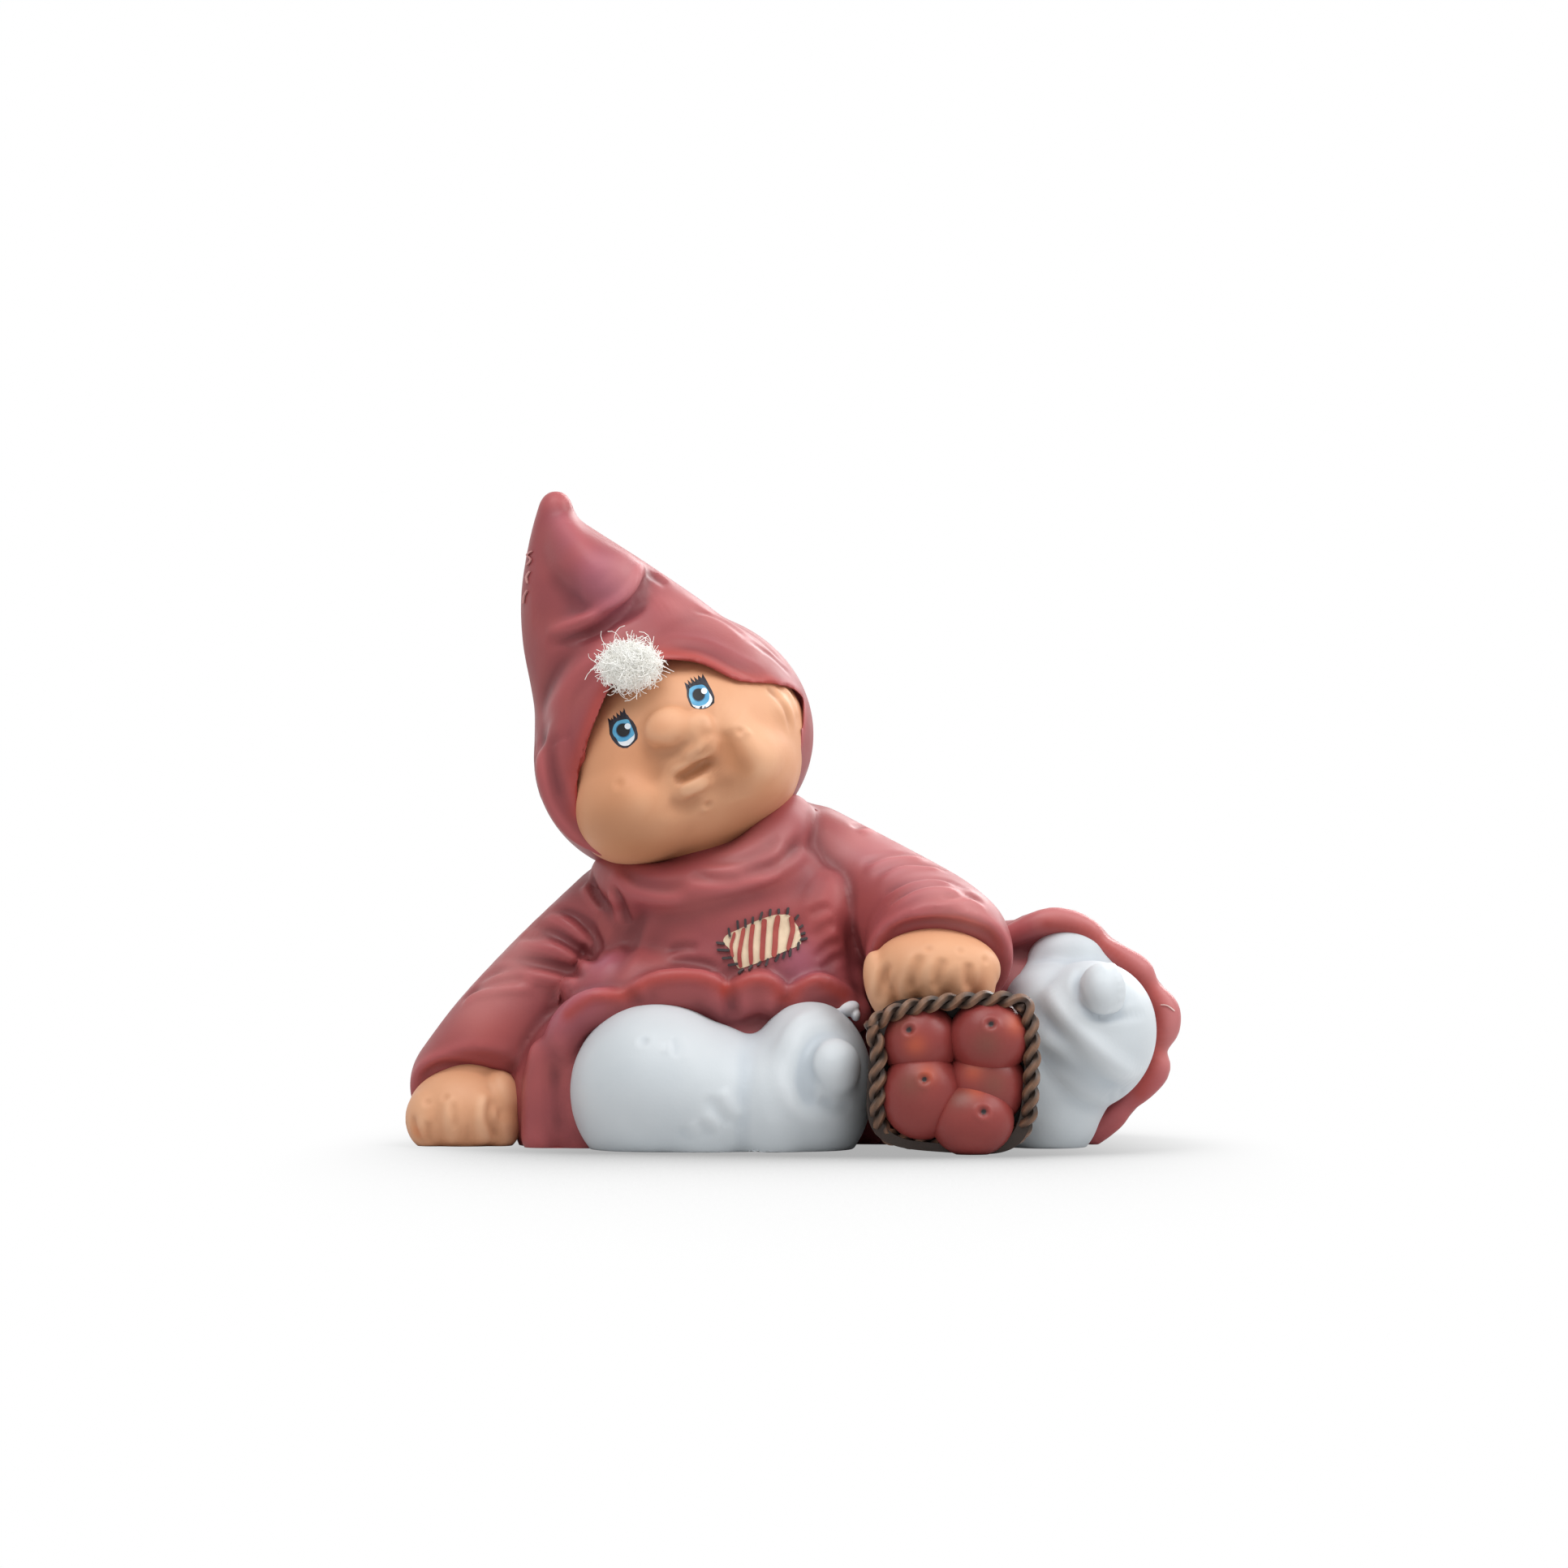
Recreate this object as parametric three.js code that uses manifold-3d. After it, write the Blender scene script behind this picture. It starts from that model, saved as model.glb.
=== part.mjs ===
// A reclining elf doll: a hand-painted figure, cast in resin in separate pieces that are pegged and
// glued together. Head and hood, tunic, skirt, two sleeves with hands, two legs in pale leggings
// with a knob at each toe, a basket of apples under the left hand, and a tuft of white fleece.
// Millimetres, +Z up. The doll faces -Y, so its right hand is at -X. It rests on its flat base.

import * as THREE from "three";
import { mergeVertices } from "three/addons/utils/BufferGeometryUtils.js";
import Module from "manifold-3d";

const wasm = await Module();
wasm.setup();

// Fits of the castings.
const seamGap = 0.3; // glue line between two castings
const pegBore = 5; // a peg on one casting sits in a socket in the next
const pegDepth = 4.5; // how deep a peg goes into its socket
const overrun = 3; // how far a cutter reaches past what it cuts
const weld = 0.001; // vertices nearer than this are one
const chordError = 0.32; // how far a facet may lie inside the round form that it stands for
const fewestSides = 8;
const domeShare = 0.2; // rings in the domed end of a limb over the sides of the limb

// Every form below is a lump: full sizes across (X), deep (Y) and tall (Z), a roll in degrees about
// Y, anticlockwise as the doll is faced, and its middle as shares of the half sizes of the lump
// that it is placed on, along that lump's own X, Y and Z.

// The seat is the first lump. The floor cuts it at a share of its half height below its middle.
const seatSize = { across: 70, deep: 40, tall: 36, roll: 0 };
const seatFloorShare = -0.72;

// Skirt of the tunic, spread over the floor behind and beside the legs.
const hipsSize = { across: 50, deep: 40, tall: 44, roll: 0, placeShares: [1.14, -0.15, 0.28] };
const drapeSize = { across: 64, deep: 41, tall: 40, roll: 0, placeShares: [0.5, -0.08, 0.05] };
const lapSize = { across: 28, deep: 30, tall: 34, roll: 0, placeShares: [-0.97, -0.78, -0.28] };
// The apron fills the skirt behind the front hem, so its width follows the seat as the hem does.
const apronAcrossShare = 0.543;
const apronSize = { deep: 26, tall: 24, roll: 0, placeShares: [-0.2, -0.9, 0.14] };

// Hem: a rolled, wavy edge, over the lap at the front and round the hips at the back.
const frontHem = { radius: 2.8, thinShare: 0.88 };
const frontHemShares = [
  [-1.16, -1.2, -0.56],
  [-1.17, -1.32, -0.06],
  [-1.09, -1.45, 0.33],
  [-0.89, -1.52, 0.6],
  [-0.63, -1.57, 0.76],
  [-0.39, -1.52, 0.69],
  [-0.15, -1.45, 0.69],
  [0.13, -1.35, 0.74],
  [0.34, -1.2, 0.59],
];
const backHem = { radius: 2.7, thinShare: 0.88 };
const backHemShares = [
  [-0.12, -0.75, 0.66],
  [0.13, -0.72, 0.86],
  [0.4, -0.7, 0.82],
  [0.64, -0.67, 0.6],
  [0.87, -0.65, 0.3],
  [0.89, -0.62, 0.03],
  [0.82, -0.62, -0.25],
  [0.69, -0.62, -0.5],
  [0.52, -0.62, -0.75],
];

// Tunic: belly, chest and shoulders, with the roll of its cowl collar.
const bellySize = { across: 44, deep: 34, tall: 42, roll: 0, placeShares: [-0.27, -0.5, 0.89] };
const chestSize = { across: 40, deep: 30, tall: 30, roll: 12, placeShares: [-0.16, 0.06, 0.6] };
const shoulderRightSize = { across: 20, deep: 20, tall: 17, roll: 45, placeShares: [-0.74, 0.03, 0.14] };
const shoulderLeftSize = { across: 25, deep: 20, tall: 17, roll: -30, placeShares: [0.78, 0.07, 0.28] };
const collar = { radius: 3.6, thinShare: 0.85 };
const collarShares = [
  [-0.89, -0.4, 0.52],
  [-0.61, -0.9, 0.32],
  [-0.18, -1.11, 0.13],
  [0.29, -1.11, 0.2],
  [0.66, -0.84, 0.46],
  [0.83, -0.4, 0.69],
];

// Head: an egg rolled over to the doll's right, with a childlike face.
const skullSize = { across: 41.4, deep: 38, tall: 37, roll: 23, placeShares: [0.02, -0.33, 1.6] };
const faceSizes = {
  cheekRight: { across: 19, deep: 16, tall: 17, roll: 23, placeShares: [-0.56, -0.55, -0.16] },
  cheekLeft: { across: 18, deep: 16, tall: 18, roll: 23, placeShares: [0.44, -0.5, -0.15] },
  chin: { across: 18, deep: 15, tall: 12, roll: 23, placeShares: [-0.18, -0.55, -0.58] },
  brow: { across: 26, deep: 12, tall: 12, roll: 23, placeShares: [-0.07, -0.58, 0.56] },
  muzzle: { across: 13, deep: 9, tall: 9, roll: 23, placeShares: [0.01, -0.87, -0.11] },
  nose: { across: 5.6, deep: 9, tall: 5, roll: 23, placeShares: [0.07, -0.98, 0.32] },
  lowerLip: { across: 5.6, deep: 7, tall: 2.8, roll: 23, placeShares: [-0.07, -0.97, -0.22] },
  ear: { across: 6, deep: 6, tall: 9, roll: 10, placeShares: [0.84, -0.42, 0.1] },
};
const mouthSize = { across: 6.8, deep: 5, tall: 1.5, roll: 28, placeShares: [0.01, -1.16, -0.11] };

// Hood: a cowl round the head that runs up into a point, open at the face.
const cowlSize = { across: 45.6, deep: 46, tall: 46, roll: 0, placeShares: [-0.04, 0.18, 0.08] };
const faceOpening = { across: 39, tall: 33, roll: 22, placeShares: [0.01, 0, 0.02] };
const hoodPointRadius = 19.6;
const hoodPointRadiusShares = [1, 1, 0.88, 0.69, 0.49, 0.3, 0.145];
const hoodPointShares = [
  [-0.22, 0.01, -0.09],
  [-0.3, 0.03, 0.27],
  [-0.47, 0.05, 0.63],
  [-0.64, 0.06, 0.96],
  [-0.8, 0.04, 1.3],
  [-0.91, 0.02, 1.58],
  [-0.95, 0, 1.83],
];
const neckBore = 12; // the neck is the head's peg

// Sleeves, from the shoulder to the cuff, each trimmed by a plane at the cuff.
const rightSleeveRadius = 10;
const rightSleeveRadiusShares = [0.8, 0.9, 1, 1.01];
const rightSleeveShares = [
  [-0.92, 0, 0.02],
  [-1.43, -0.09, -0.47],
  [-1.99, -0.17, -1.04],
  [-2.34, -0.24, -1.5],
];
const rightWristHeightShare = 0.96; // of the cuff's radius: the arm leans on the floor
const leftSleeveRadius = 11.8;
const leftSleeveRadiusShares = [0.73, 0.8, 0.91];
const leftSleeveShares = [
  [0.92, 0.03, 0.15],
  [1.28, -0.27, -0.29],
  [1.61, -0.9, -0.76],
];
// The left wrist lies over the basket, as shares of its half width, its depth and its half height.
const leftWristShares = [-0.19, 0.8, 1.33];
const rightCuffShares = { place: [0, -0.55, 0.25], lean: [-0.1, -0.8, -0.6] };
const leftCuffShares = { place: [0, -0.42, 0.52], lean: [0, -0.8, -0.6] };

// Hands: a chubby palm with thumb and fingers, each placed on the cuff end of its sleeve.
const rightPalmSize = { across: 18.6, deep: 18, tall: 15, roll: 0, placeShares: [-0.14, -0.42, -0.5] };
const rightThumbSize = { across: 8.4, deep: 12, tall: 10.4, roll: 12, placeShares: [0.58, -0.5, -0.04] };
const rightFingersSize = { across: 9, deep: 9, tall: 8.6, roll: -8, placeShares: [-0.5, -0.72, -0.12] };
const leftPalmSize = { across: 21.4, deep: 16, tall: 14, roll: -3, placeShares: [0.04, -0.44, -0.14] };
const leftThumbSize = { across: 6, deep: 8, tall: 12, roll: 14, placeShares: [-0.76, -0.4, -0.3] };
const fingerSize = { across: 5.2, deep: 7, tall: 11 };
const fingerShares = [
  [-0.42, -0.62, -0.02],
  [-0.05, -0.72, -0.02],
  [0.34, -0.68, -0.06],
  [0.68, -0.5, -0.12],
];

// Legs in leggings: the right knee lies in front, and both feet end in a knob at the toe.
const kneeSize = { across: 29, deep: 33, tall: 30, roll: 0, placeShares: [-0.65, -1.48, -0.21] };
const kneeInnerSize = { across: 14, deep: 22, tall: 15, roll: 0, placeShares: [0.78, 0.12, 0.28] };
const rightInstepSize = { across: 20.4, deep: 30, tall: 29, roll: 0, placeShares: [0.08, -1.48, -0.17] };
const rightAnkleSize = { across: 14, deep: 24, tall: 22, roll: 0, placeShares: [-0.65, 0.17, 0] };
const rightToeSize = { across: 8.8, deep: 9, tall: 10.6, roll: 0, placeShares: [0.51, -0.97, 0.26] };
const leftInstepSize = { across: 22.4, deep: 24, tall: 25, roll: -20, placeShares: [0.38, -1.07, 0.03] };
const leftToeSize = { across: 5.4, deep: 6, tall: 5.4, roll: 0, placeShares: [-0.04, -0.82, 0.79] };
const shinSize = { across: 27, deep: 22, tall: 26, roll: -30, placeShares: [0.06, -0.95, -0.3] };
const calfSize = { across: 14, deep: 15, tall: 31, roll: 0, placeShares: [0.33, -0.6, 0.18] };
const heelSize = { across: 20, deep: 20, tall: 20, roll: 0, placeShares: [0.52, -0.05, -0.09] };

// Basket: it lies on its side with its mouth to the front, tapering to its bottom.
const basket = { across: 28.5, tall: 26.6, depth: 20, lip: 2, recess: 5.4, roll: 4 };
const basketPlaceShares = [0.75, -2.4]; // of the seat: the middle of the mouth, in X and Y
const basketBottomShare = 0.84; // the bottom's size over the mouth's
const basketSquareness = 4; // power of its rounded square outline
const basketSides = 32;
const rope = { radius: 0.9, sides: 8 };

// Apples lie in the basket's mouth, placed from its middle, and each stands out by its own share.
const appleAcross = 10.8;
const apples = [
  { name: "apple_bottom_right", sizeShare: 1, placeShares: [0.3, -0.57], outShare: 0.5 },
  { name: "apple_middle_left", sizeShare: 0.98, placeShares: [-0.36, -0.24], outShare: 0.36 },
  { name: "apple_top_right", sizeShare: 1.04, placeShares: [0.42, 0.4], outShare: 0.3 },
  { name: "apple_top_left", sizeShare: 0.93, placeShares: [-0.35, 0.36], outShare: 0.16 },
  { name: "apple_middle_right", sizeShare: 0.96, placeShares: [0.34, -0.1], outShare: 0.1 },
];

// Fleece tuft at the hood's edge over the brow, and a dab of dried glue between foot and hem.
const tuftSize = { across: 10.4, deep: 9, tall: 8, roll: 15, placeShares: [-0.13, -0.84, 0.99] };
const glueDabSize = { across: 4.2, deep: 3.4, tall: 3, roll: 0, placeShares: [0.62, 0.07, 0.92] };

// Paints.
const brick = { color: 0x9a4446, roughness: 0.5, metalness: 0 };
const flesh = { color: 0xdc9f72, roughness: 0.55, metalness: 0 };
const pale = { color: 0xd5dde0, roughness: 0.5, metalness: 0 };
const wicker = { color: 0x5a4336, roughness: 0.7, metalness: 0 };
const appleRed = { color: 0x9c3a3c, roughness: 0.45, metalness: 0 };
const fleece = { color: 0xf4f2ee, roughness: 0.95, metalness: 0 };

// A turn of so many degrees about Y, anticlockwise as the doll is faced.
function rollTurn(degrees) {
  const forward = new THREE.Vector3(0, -1, 0);
  return new THREE.Quaternion().setFromAxisAngle(forward, THREE.MathUtils.degToRad(degrees));
}

// The point at shares of a lump's half sizes from its middle.
function pointOn({ middle, half, turn }, [x, y, z]) {
  return new THREE.Vector3(x, y, z).multiply(half).applyQuaternion(turn).add(middle);
}

// A lump at a middle.
function lumpAt({ across, deep, tall, roll = 0 }, middle) {
  return { half: new THREE.Vector3(across, deep, tall).divideScalar(2), turn: rollTurn(roll), middle };
}

// A lump placed on another.
function lumpOn(carrier, size) {
  return lumpAt(size, pointOn(carrier, size.placeShares));
}

// A station of a limb: its middle and radius.
function stationsOn(carrier, shares, radii) {
  return shares.map((share, i) => ({ middle: pointOn(carrier, share), radius: radii[i] }));
}

function radiiOf(radius, shares) {
  return shares.map((share) => radius * share);
}

// A rolled edge swells and thins in turn.
function hemStations(carrier, shares, { radius, thinShare }) {
  return stationsOn(carrier, shares, shares.map((share, i) => (i % 2 ? radius : radius * thinShare)));
}

// A closed three.js geometry as a solid that can be cut and joined.
function solidOf(geometry) {
  geometry.deleteAttribute("normal");
  geometry.deleteAttribute("uv");
  const merged = mergeVertices(geometry, weld);
  const vertProperties = merged.getAttribute("position").array;
  const triVerts = new Uint32Array(merged.index.array);
  return new wasm.Manifold(new wasm.Mesh({ numProp: 3, vertProperties, triVerts }));
}

// An even number of sides that keeps the facets of a round form to the chord error.
function sidesFor(radius) {
  return Math.max(fewestSides, 2 * Math.round((Math.PI / 2) * Math.sqrt(radius / (2 * chordError))));
}

// The solid of a lump, grown all over.
function ellipsoid({ half, turn, middle }, grow = 0) {
  const sides = sidesFor(Math.max(half.x, half.y, half.z));
  const ball = new THREE.SphereGeometry(1, sides, sides / 2);
  ball.rotateX(Math.PI / 2);
  ball.scale(half.x + grow, half.y + grow, half.z + grow);
  ball.applyQuaternion(turn);
  ball.translate(middle.x, middle.y, middle.z);
  return solidOf(ball);
}

// A round limb with domed ends: a capsule bent along its stations, grown all over.
function limb(stations, grow = 0) {
  const line = new THREE.CatmullRomCurve3(stations.map(({ middle }) => middle));
  const swell = new THREE.CatmullRomCurve3(stations.map(({ radius }) => new THREE.Vector3(radius, 0, 0)));
  const widest = Math.max(...stations.map(({ radius }) => radius));
  const sides = sidesFor(widest);
  const stepsPerLength = sides / (2 * Math.PI * widest);
  const steps = Math.max(2 * stations.length, Math.round(stepsPerLength * line.getLength()));
  const capsule = new THREE.CapsuleGeometry(1, 1, Math.round(domeShare * sides), sides, steps);
  capsule.translate(0, 1 / 2, 0);
  const at = capsule.getAttribute("position");
  const depthWay = new THREE.Vector3(0, 1, 0);
  for (let i = 0; i < at.count; i += 1) {
    const along = THREE.MathUtils.clamp(at.getY(i), 0, 1);
    const tangent = line.getTangent(along);
    const side = new THREE.Vector3().crossVectors(depthWay, tangent).normalize();
    const front = new THREE.Vector3().crossVectors(tangent, side);
    const radius = swell.getPoint(along).x + grow;
    const place = line.getPoint(along)
      .addScaledVector(side, at.getX(i) * radius)
      .addScaledVector(front, -at.getZ(i) * radius)
      .addScaledVector(tangent, (at.getY(i) - along) * radius);
    at.setXYZ(i, place.x, place.y, place.z);
  }
  return solidOf(capsule);
}

// A round rod between two points.
function rod(from, to, bore) {
  const pin = new THREE.CylinderGeometry(bore / 2, bore / 2, from.distanceTo(to), fewestSides);
  const way = to.clone().sub(from).normalize();
  pin.applyQuaternion(new THREE.Quaternion().setFromUnitVectors(new THREE.Vector3(0, 1, 0), way));
  pin.translate((from.x + to.x) / 2, (from.y + to.y) / 2, (from.z + to.z) / 2);
  return solidOf(pin);
}

// A large box on the far side of a plane.
function beyond(point, way, reach) {
  const box = new THREE.BoxGeometry(reach, reach, reach);
  box.translate(0, 0, reach / 2);
  box.applyQuaternion(new THREE.Quaternion().setFromUnitVectors(new THREE.Vector3(0, 0, 1), way));
  box.translate(point.x, point.y, point.z);
  return solidOf(box);
}

function join(solids) {
  return solids.reduce((whole, solid) => whole.add(solid));
}

// A form is a list of lumps and limbs, and gives its solid at any growth.
function formOf(...parts) {
  const solidAtGrowth = (part, grow) => (Array.isArray(part) ? limb(part, grow) : ellipsoid(part, grow));
  return (grow) => join(parts.map((part) => solidAtGrowth(part, grow)));
}

// Places of all the lumps, each on the one that carries it.
const seatMiddle = new THREE.Vector3(0, 0, (-seatFloorShare * seatSize.tall) / 2);
const seat = lumpAt(seatSize, seatMiddle);
const hips = lumpOn(seat, hipsSize);
const drape = lumpOn(seat, drapeSize);
const lap = lumpOn(seat, lapSize);
const apron = lumpOn(seat, { across: apronAcrossShare * seatSize.across, ...apronSize });
const belly = lumpOn(seat, bellySize);
const chest = lumpOn(belly, chestSize);
const skull = lumpOn(chest, skullSize);
const cowl = lumpOn(skull, cowlSize);
const knee = lumpOn(seat, kneeSize);
const rightInstep = lumpOn(seat, rightInstepSize);
const leftInstep = lumpOn(hips, leftInstepSize);
const shin = lumpOn(hips, shinSize);
const reach = 2 * (seatSize.across + hipsSize.across);

// The middle of the basket's mouth, and the place of the wrist that lies over it.
const basketMouth = pointOn(seat, [...basketPlaceShares, 0]);
basketMouth.z = basket.tall / 2;
const basketHalf = new THREE.Vector3(basket.across / 2, basket.depth, basket.tall / 2);
const leftWristMiddle = new THREE.Vector3(...leftWristShares).multiply(basketHalf).add(basketMouth);

// Stations of the arms, each with a ball at the cuff that carries the hand.
function cuffBall({ middle, radius }) {
  return lumpAt({ across: 2 * radius, deep: 2 * radius, tall: 2 * radius }, middle);
}
const rightArmRadii = radiiOf(rightSleeveRadius, rightSleeveRadiusShares);
const rightArm = stationsOn(chest, rightSleeveShares, rightArmRadii);
const rightCuffEnd = rightArm[rightArm.length - 1];
rightCuffEnd.middle.z = rightWristHeightShare * rightCuffEnd.radius;
const leftArmRadii = radiiOf(leftSleeveRadius, leftSleeveRadiusShares);
const leftCuffEnd = { middle: leftWristMiddle, radius: leftSleeveRadius };
const leftArm = [...stationsOn(chest, leftSleeveShares, leftArmRadii), leftCuffEnd];
const rightWrist = cuffBall(rightCuffEnd);
const leftWrist = cuffBall(leftCuffEnd);

// The forms of the castings.
const headForm = formOf(skull, ...Object.values(faceSizes).map((size) => lumpOn(skull, size)));
const hoodPoint = stationsOn(cowl, hoodPointShares, radiiOf(hoodPointRadius, hoodPointRadiusShares));
const hoodForm = formOf(cowl, hoodPoint);
const tuftForm = formOf(lumpOn(skull, tuftSize));
const tunicForm = formOf(
  belly,
  chest,
  lumpOn(chest, shoulderRightSize),
  lumpOn(chest, shoulderLeftSize),
  hemStations(chest, collarShares, collar),
);
const rightHandForm = formOf(
  lumpOn(rightWrist, rightPalmSize),
  lumpOn(rightWrist, rightThumbSize),
  lumpOn(rightWrist, rightFingersSize),
);
const leftFingers = fingerShares.map((placeShares) => lumpOn(leftWrist, { ...fingerSize, placeShares }));
const leftHandForm = formOf(
  lumpOn(leftWrist, leftPalmSize),
  lumpOn(leftWrist, leftThumbSize),
  ...leftFingers,
);
const rightLegForm = formOf(knee, lumpOn(knee, kneeInnerSize));
const rightFootForm = formOf(
  rightInstep,
  lumpOn(rightInstep, rightAnkleSize),
  lumpOn(rightInstep, rightToeSize),
);
const leftFootForm = formOf(leftInstep, lumpOn(leftInstep, leftToeSize));
const leftLegForm = formOf(shin, lumpOn(shin, heelSize), lumpOn(hips, calfSize));
const frontSkirtForm = formOf(lap, apron, hemStations(seat, frontHemShares, frontHem));
const backSkirtForm = formOf(seat, drape, hips, hemStations(hips, backHemShares, backHem));
const glueDabForm = formOf(lumpOn(rightInstep, glueDabSize));

// A sleeve ends at its cuff's plane, which leans over the hand.
function sleeveForm(stations, wrist, { place, lean }) {
  const way = new THREE.Vector3(...lean).normalize();
  const form = formOf(stations);
  return (grow) => {
    const point = pointOn(wrist, place).addScaledVector(way, grow);
    return form(grow).subtract(beyond(point, way, reach));
  };
}
const rightSleeveForm = sleeveForm(rightArm, rightWrist, rightCuffShares);
const leftSleeveForm = sleeveForm(leftArm, leftWrist, leftCuffShares);

// Basket parts are made round a Z axis with the mouth at z 0, then turned to face the front.
function squareOut(geometry, width, height) {
  const at = geometry.getAttribute("position");
  const halfPower = basketSquareness / 2;
  for (let i = 0; i < at.count; i += 1) {
    const [x, y] = [at.getX(i), at.getY(i)];
    const squareRadius = Math.hypot(Math.abs(x) ** halfPower, Math.abs(y) ** halfPower) ** (1 / halfPower);
    const stretch = squareRadius ? Math.hypot(x, y) / squareRadius : 0;
    at.setXY(i, (stretch * x * width) / 2, (stretch * y * height) / 2);
  }
  return geometry;
}
function inBasketPlace(geometry) {
  geometry.rotateX(Math.PI / 2);
  geometry.applyQuaternion(rollTurn(basket.roll));
  geometry.translate(basketMouth.x, basketMouth.y, basketMouth.z);
  return solidOf(geometry);
}
// A tapering block from a level in front of the mouth to a depth behind it.
function basketBlock(width, height, front, back) {
  const shareAt = (level) => THREE.MathUtils.lerp(1, basketBottomShare, level / basket.depth);
  const block = new THREE.CylinderGeometry(shareAt(front), shareAt(back), back - front, basketSides);
  block.rotateX(Math.PI / 2);
  block.translate(0, 0, -(front + back) / 2);
  return inBasketPlace(squareOut(block, width, height));
}
function basketForm(grow) {
  return basketBlock(basket.across + 2 * grow, basket.tall + 2 * grow, -grow, basket.depth + grow);
}
function basketRecess() {
  return basketBlock(basket.across - 2 * basket.lip, basket.tall - 2 * basket.lip, -overrun, basket.recess);
}
// The rim is a rope laid round the mouth, in front of the basket's edge.
function rimForm(grow) {
  const ringShare = 1 - (2 * rope.radius) / basket.across;
  const tubeShare = (2 * (rope.radius + grow)) / basket.across;
  const ring = new THREE.TorusGeometry(ringShare, tubeShare, rope.sides, basketSides);
  ring.scale(1, 1, basket.across / 2);
  ring.translate(0, 0, rope.radius + seamGap);
  return inBasketPlace(squareOut(ring, basket.across, basket.tall));
}
function appleForm({ sizeShare, placeShares, outShare }) {
  const across = appleAcross * sizeShare;
  const [x, z] = placeShares;
  const offset = new THREE.Vector3((x * basket.across) / 2, 0, (z * basket.tall) / 2);
  const middle = offset.applyQuaternion(rollTurn(basket.roll)).add(basketMouth);
  middle.y += basket.recess - outShare * across - seamGap;
  return formOf(lumpAt({ across, deep: across, tall: across }, middle));
}

// Pegs: each starts in its own casting and ends inside the casting that it is glued to.
function surfaceToward(lump, from) {
  const way = from.clone().sub(lump.middle).applyQuaternion(lump.turn.clone().invert());
  return way.clone().divide(lump.half).length() ** -1;
}
function pegInto(target, from, bore = pegBore) {
  const share = surfaceToward(target, from);
  const way = from.clone().sub(target.middle);
  const end = target.middle.clone().addScaledVector(way, share - pegDepth / way.length());
  const past = end.clone().addScaledVector(way, -seamGap / way.length());
  return { peg: rod(from, end, bore), socket: rod(from, past, bore + 2 * seamGap) };
}

const pegs = [
  { owner: "head", ...pegInto(chest, skull.middle, neckBore) },
  { owner: "right_sleeve", ...pegInto(chest, rightArm[1].middle) },
  { owner: "left_sleeve", ...pegInto(chest, leftArm[1].middle) },
  { owner: "right_foot", ...pegInto(knee, rightInstep.middle) },
];

// The hood is open at the face, and the basket is recessed for the apples.
const mouthSlit = ellipsoid(lumpOn(skull, mouthSize));
const openingMiddle = pointOn(skull, faceOpening.placeShares);
function faceCutter() {
  const sides = sidesFor(faceOpening.across / 2);
  const cutter = new THREE.CylinderGeometry(1, 1, cowlSize.deep, sides);
  cutter.scale(faceOpening.across / 2, 1, faceOpening.tall / 2);
  cutter.applyQuaternion(rollTurn(faceOpening.roll));
  cutter.translate(openingMiddle.x, openingMiddle.y - cowlSize.deep / 2, openingMiddle.z);
  return solidOf(cutter);
}

// Castings in the order in which they are cut: each gives way to all those before it.
const castings = [
  { name: "head", paint: flesh, form: headForm, cutter: mouthSlit },
  { name: "hood", paint: brick, form: hoodForm, cutter: faceCutter() },
  { name: "hair_tuft", paint: fleece, form: tuftForm },
  { name: "tunic", paint: brick, form: tunicForm },
  ...apples.map((apple) => ({ name: apple.name, paint: appleRed, form: appleForm(apple) })),
  { name: "basket_rim", paint: wicker, form: rimForm },
  { name: "basket", paint: wicker, form: basketForm, cutter: basketRecess() },
  { name: "right_hand", paint: flesh, form: rightHandForm },
  { name: "left_hand", paint: flesh, form: leftHandForm },
  { name: "right_sleeve", paint: brick, form: rightSleeveForm },
  { name: "left_sleeve", paint: brick, form: leftSleeveForm },
  { name: "right_leg", paint: pale, form: rightLegForm },
  { name: "right_foot", paint: pale, form: rightFootForm },
  { name: "left_foot", paint: pale, form: leftFootForm },
  { name: "left_leg", paint: pale, form: leftLegForm },
  { name: "glue_dab", paint: fleece, form: glueDabForm },
  { name: "skirt_front", paint: brick, form: frontSkirtForm },
  { name: "skirt_back", paint: brick, form: backSkirtForm },
];

// Everything under the floor is cut away.
const floorCutter = beyond(new THREE.Vector3(), new THREE.Vector3(0, 0, -1), reach);

function solidAt(order) {
  const { name, form, cutter } = castings[order];
  let solid = form(0);
  for (const { form: earlier } of castings.slice(0, order)) {
    solid = solid.subtract(earlier(seamGap));
  }
  if (cutter) {
    solid = solid.subtract(cutter);
  }
  for (const { owner, peg, socket } of pegs) {
    solid = owner === name ? solid.add(peg) : solid.subtract(socket);
  }
  return solid.subtract(floorCutter);
}

function meshOf(name, solid, paint) {
  const { vertProperties, triVerts } = solid.getMesh();
  const geometry = new THREE.BufferGeometry();
  geometry.setAttribute("position", new THREE.BufferAttribute(new Float32Array(vertProperties), 3));
  geometry.setIndex(new THREE.BufferAttribute(new Uint32Array(triVerts), 1));
  geometry.computeVertexNormals();
  const mesh = new THREE.Mesh(geometry, new THREE.MeshStandardMaterial(paint));
  mesh.name = name;
  return mesh;
}

const doll = new THREE.Group();
castings.forEach(({ name, paint }, order) => doll.add(meshOf(name, solidAt(order), paint)));

// The origin is under the middle of the doll's box, on the floor.
const box = new THREE.Box3().setFromObject(doll);
const centre = box.getCenter(new THREE.Vector3());
doll.position.set(-centre.x, -centre.y, -box.min.z);

export default doll;
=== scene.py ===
from math import radians

import bpy
import numpy as np
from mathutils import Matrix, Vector
from mathutils.bvhtree import BVHTree


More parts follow.
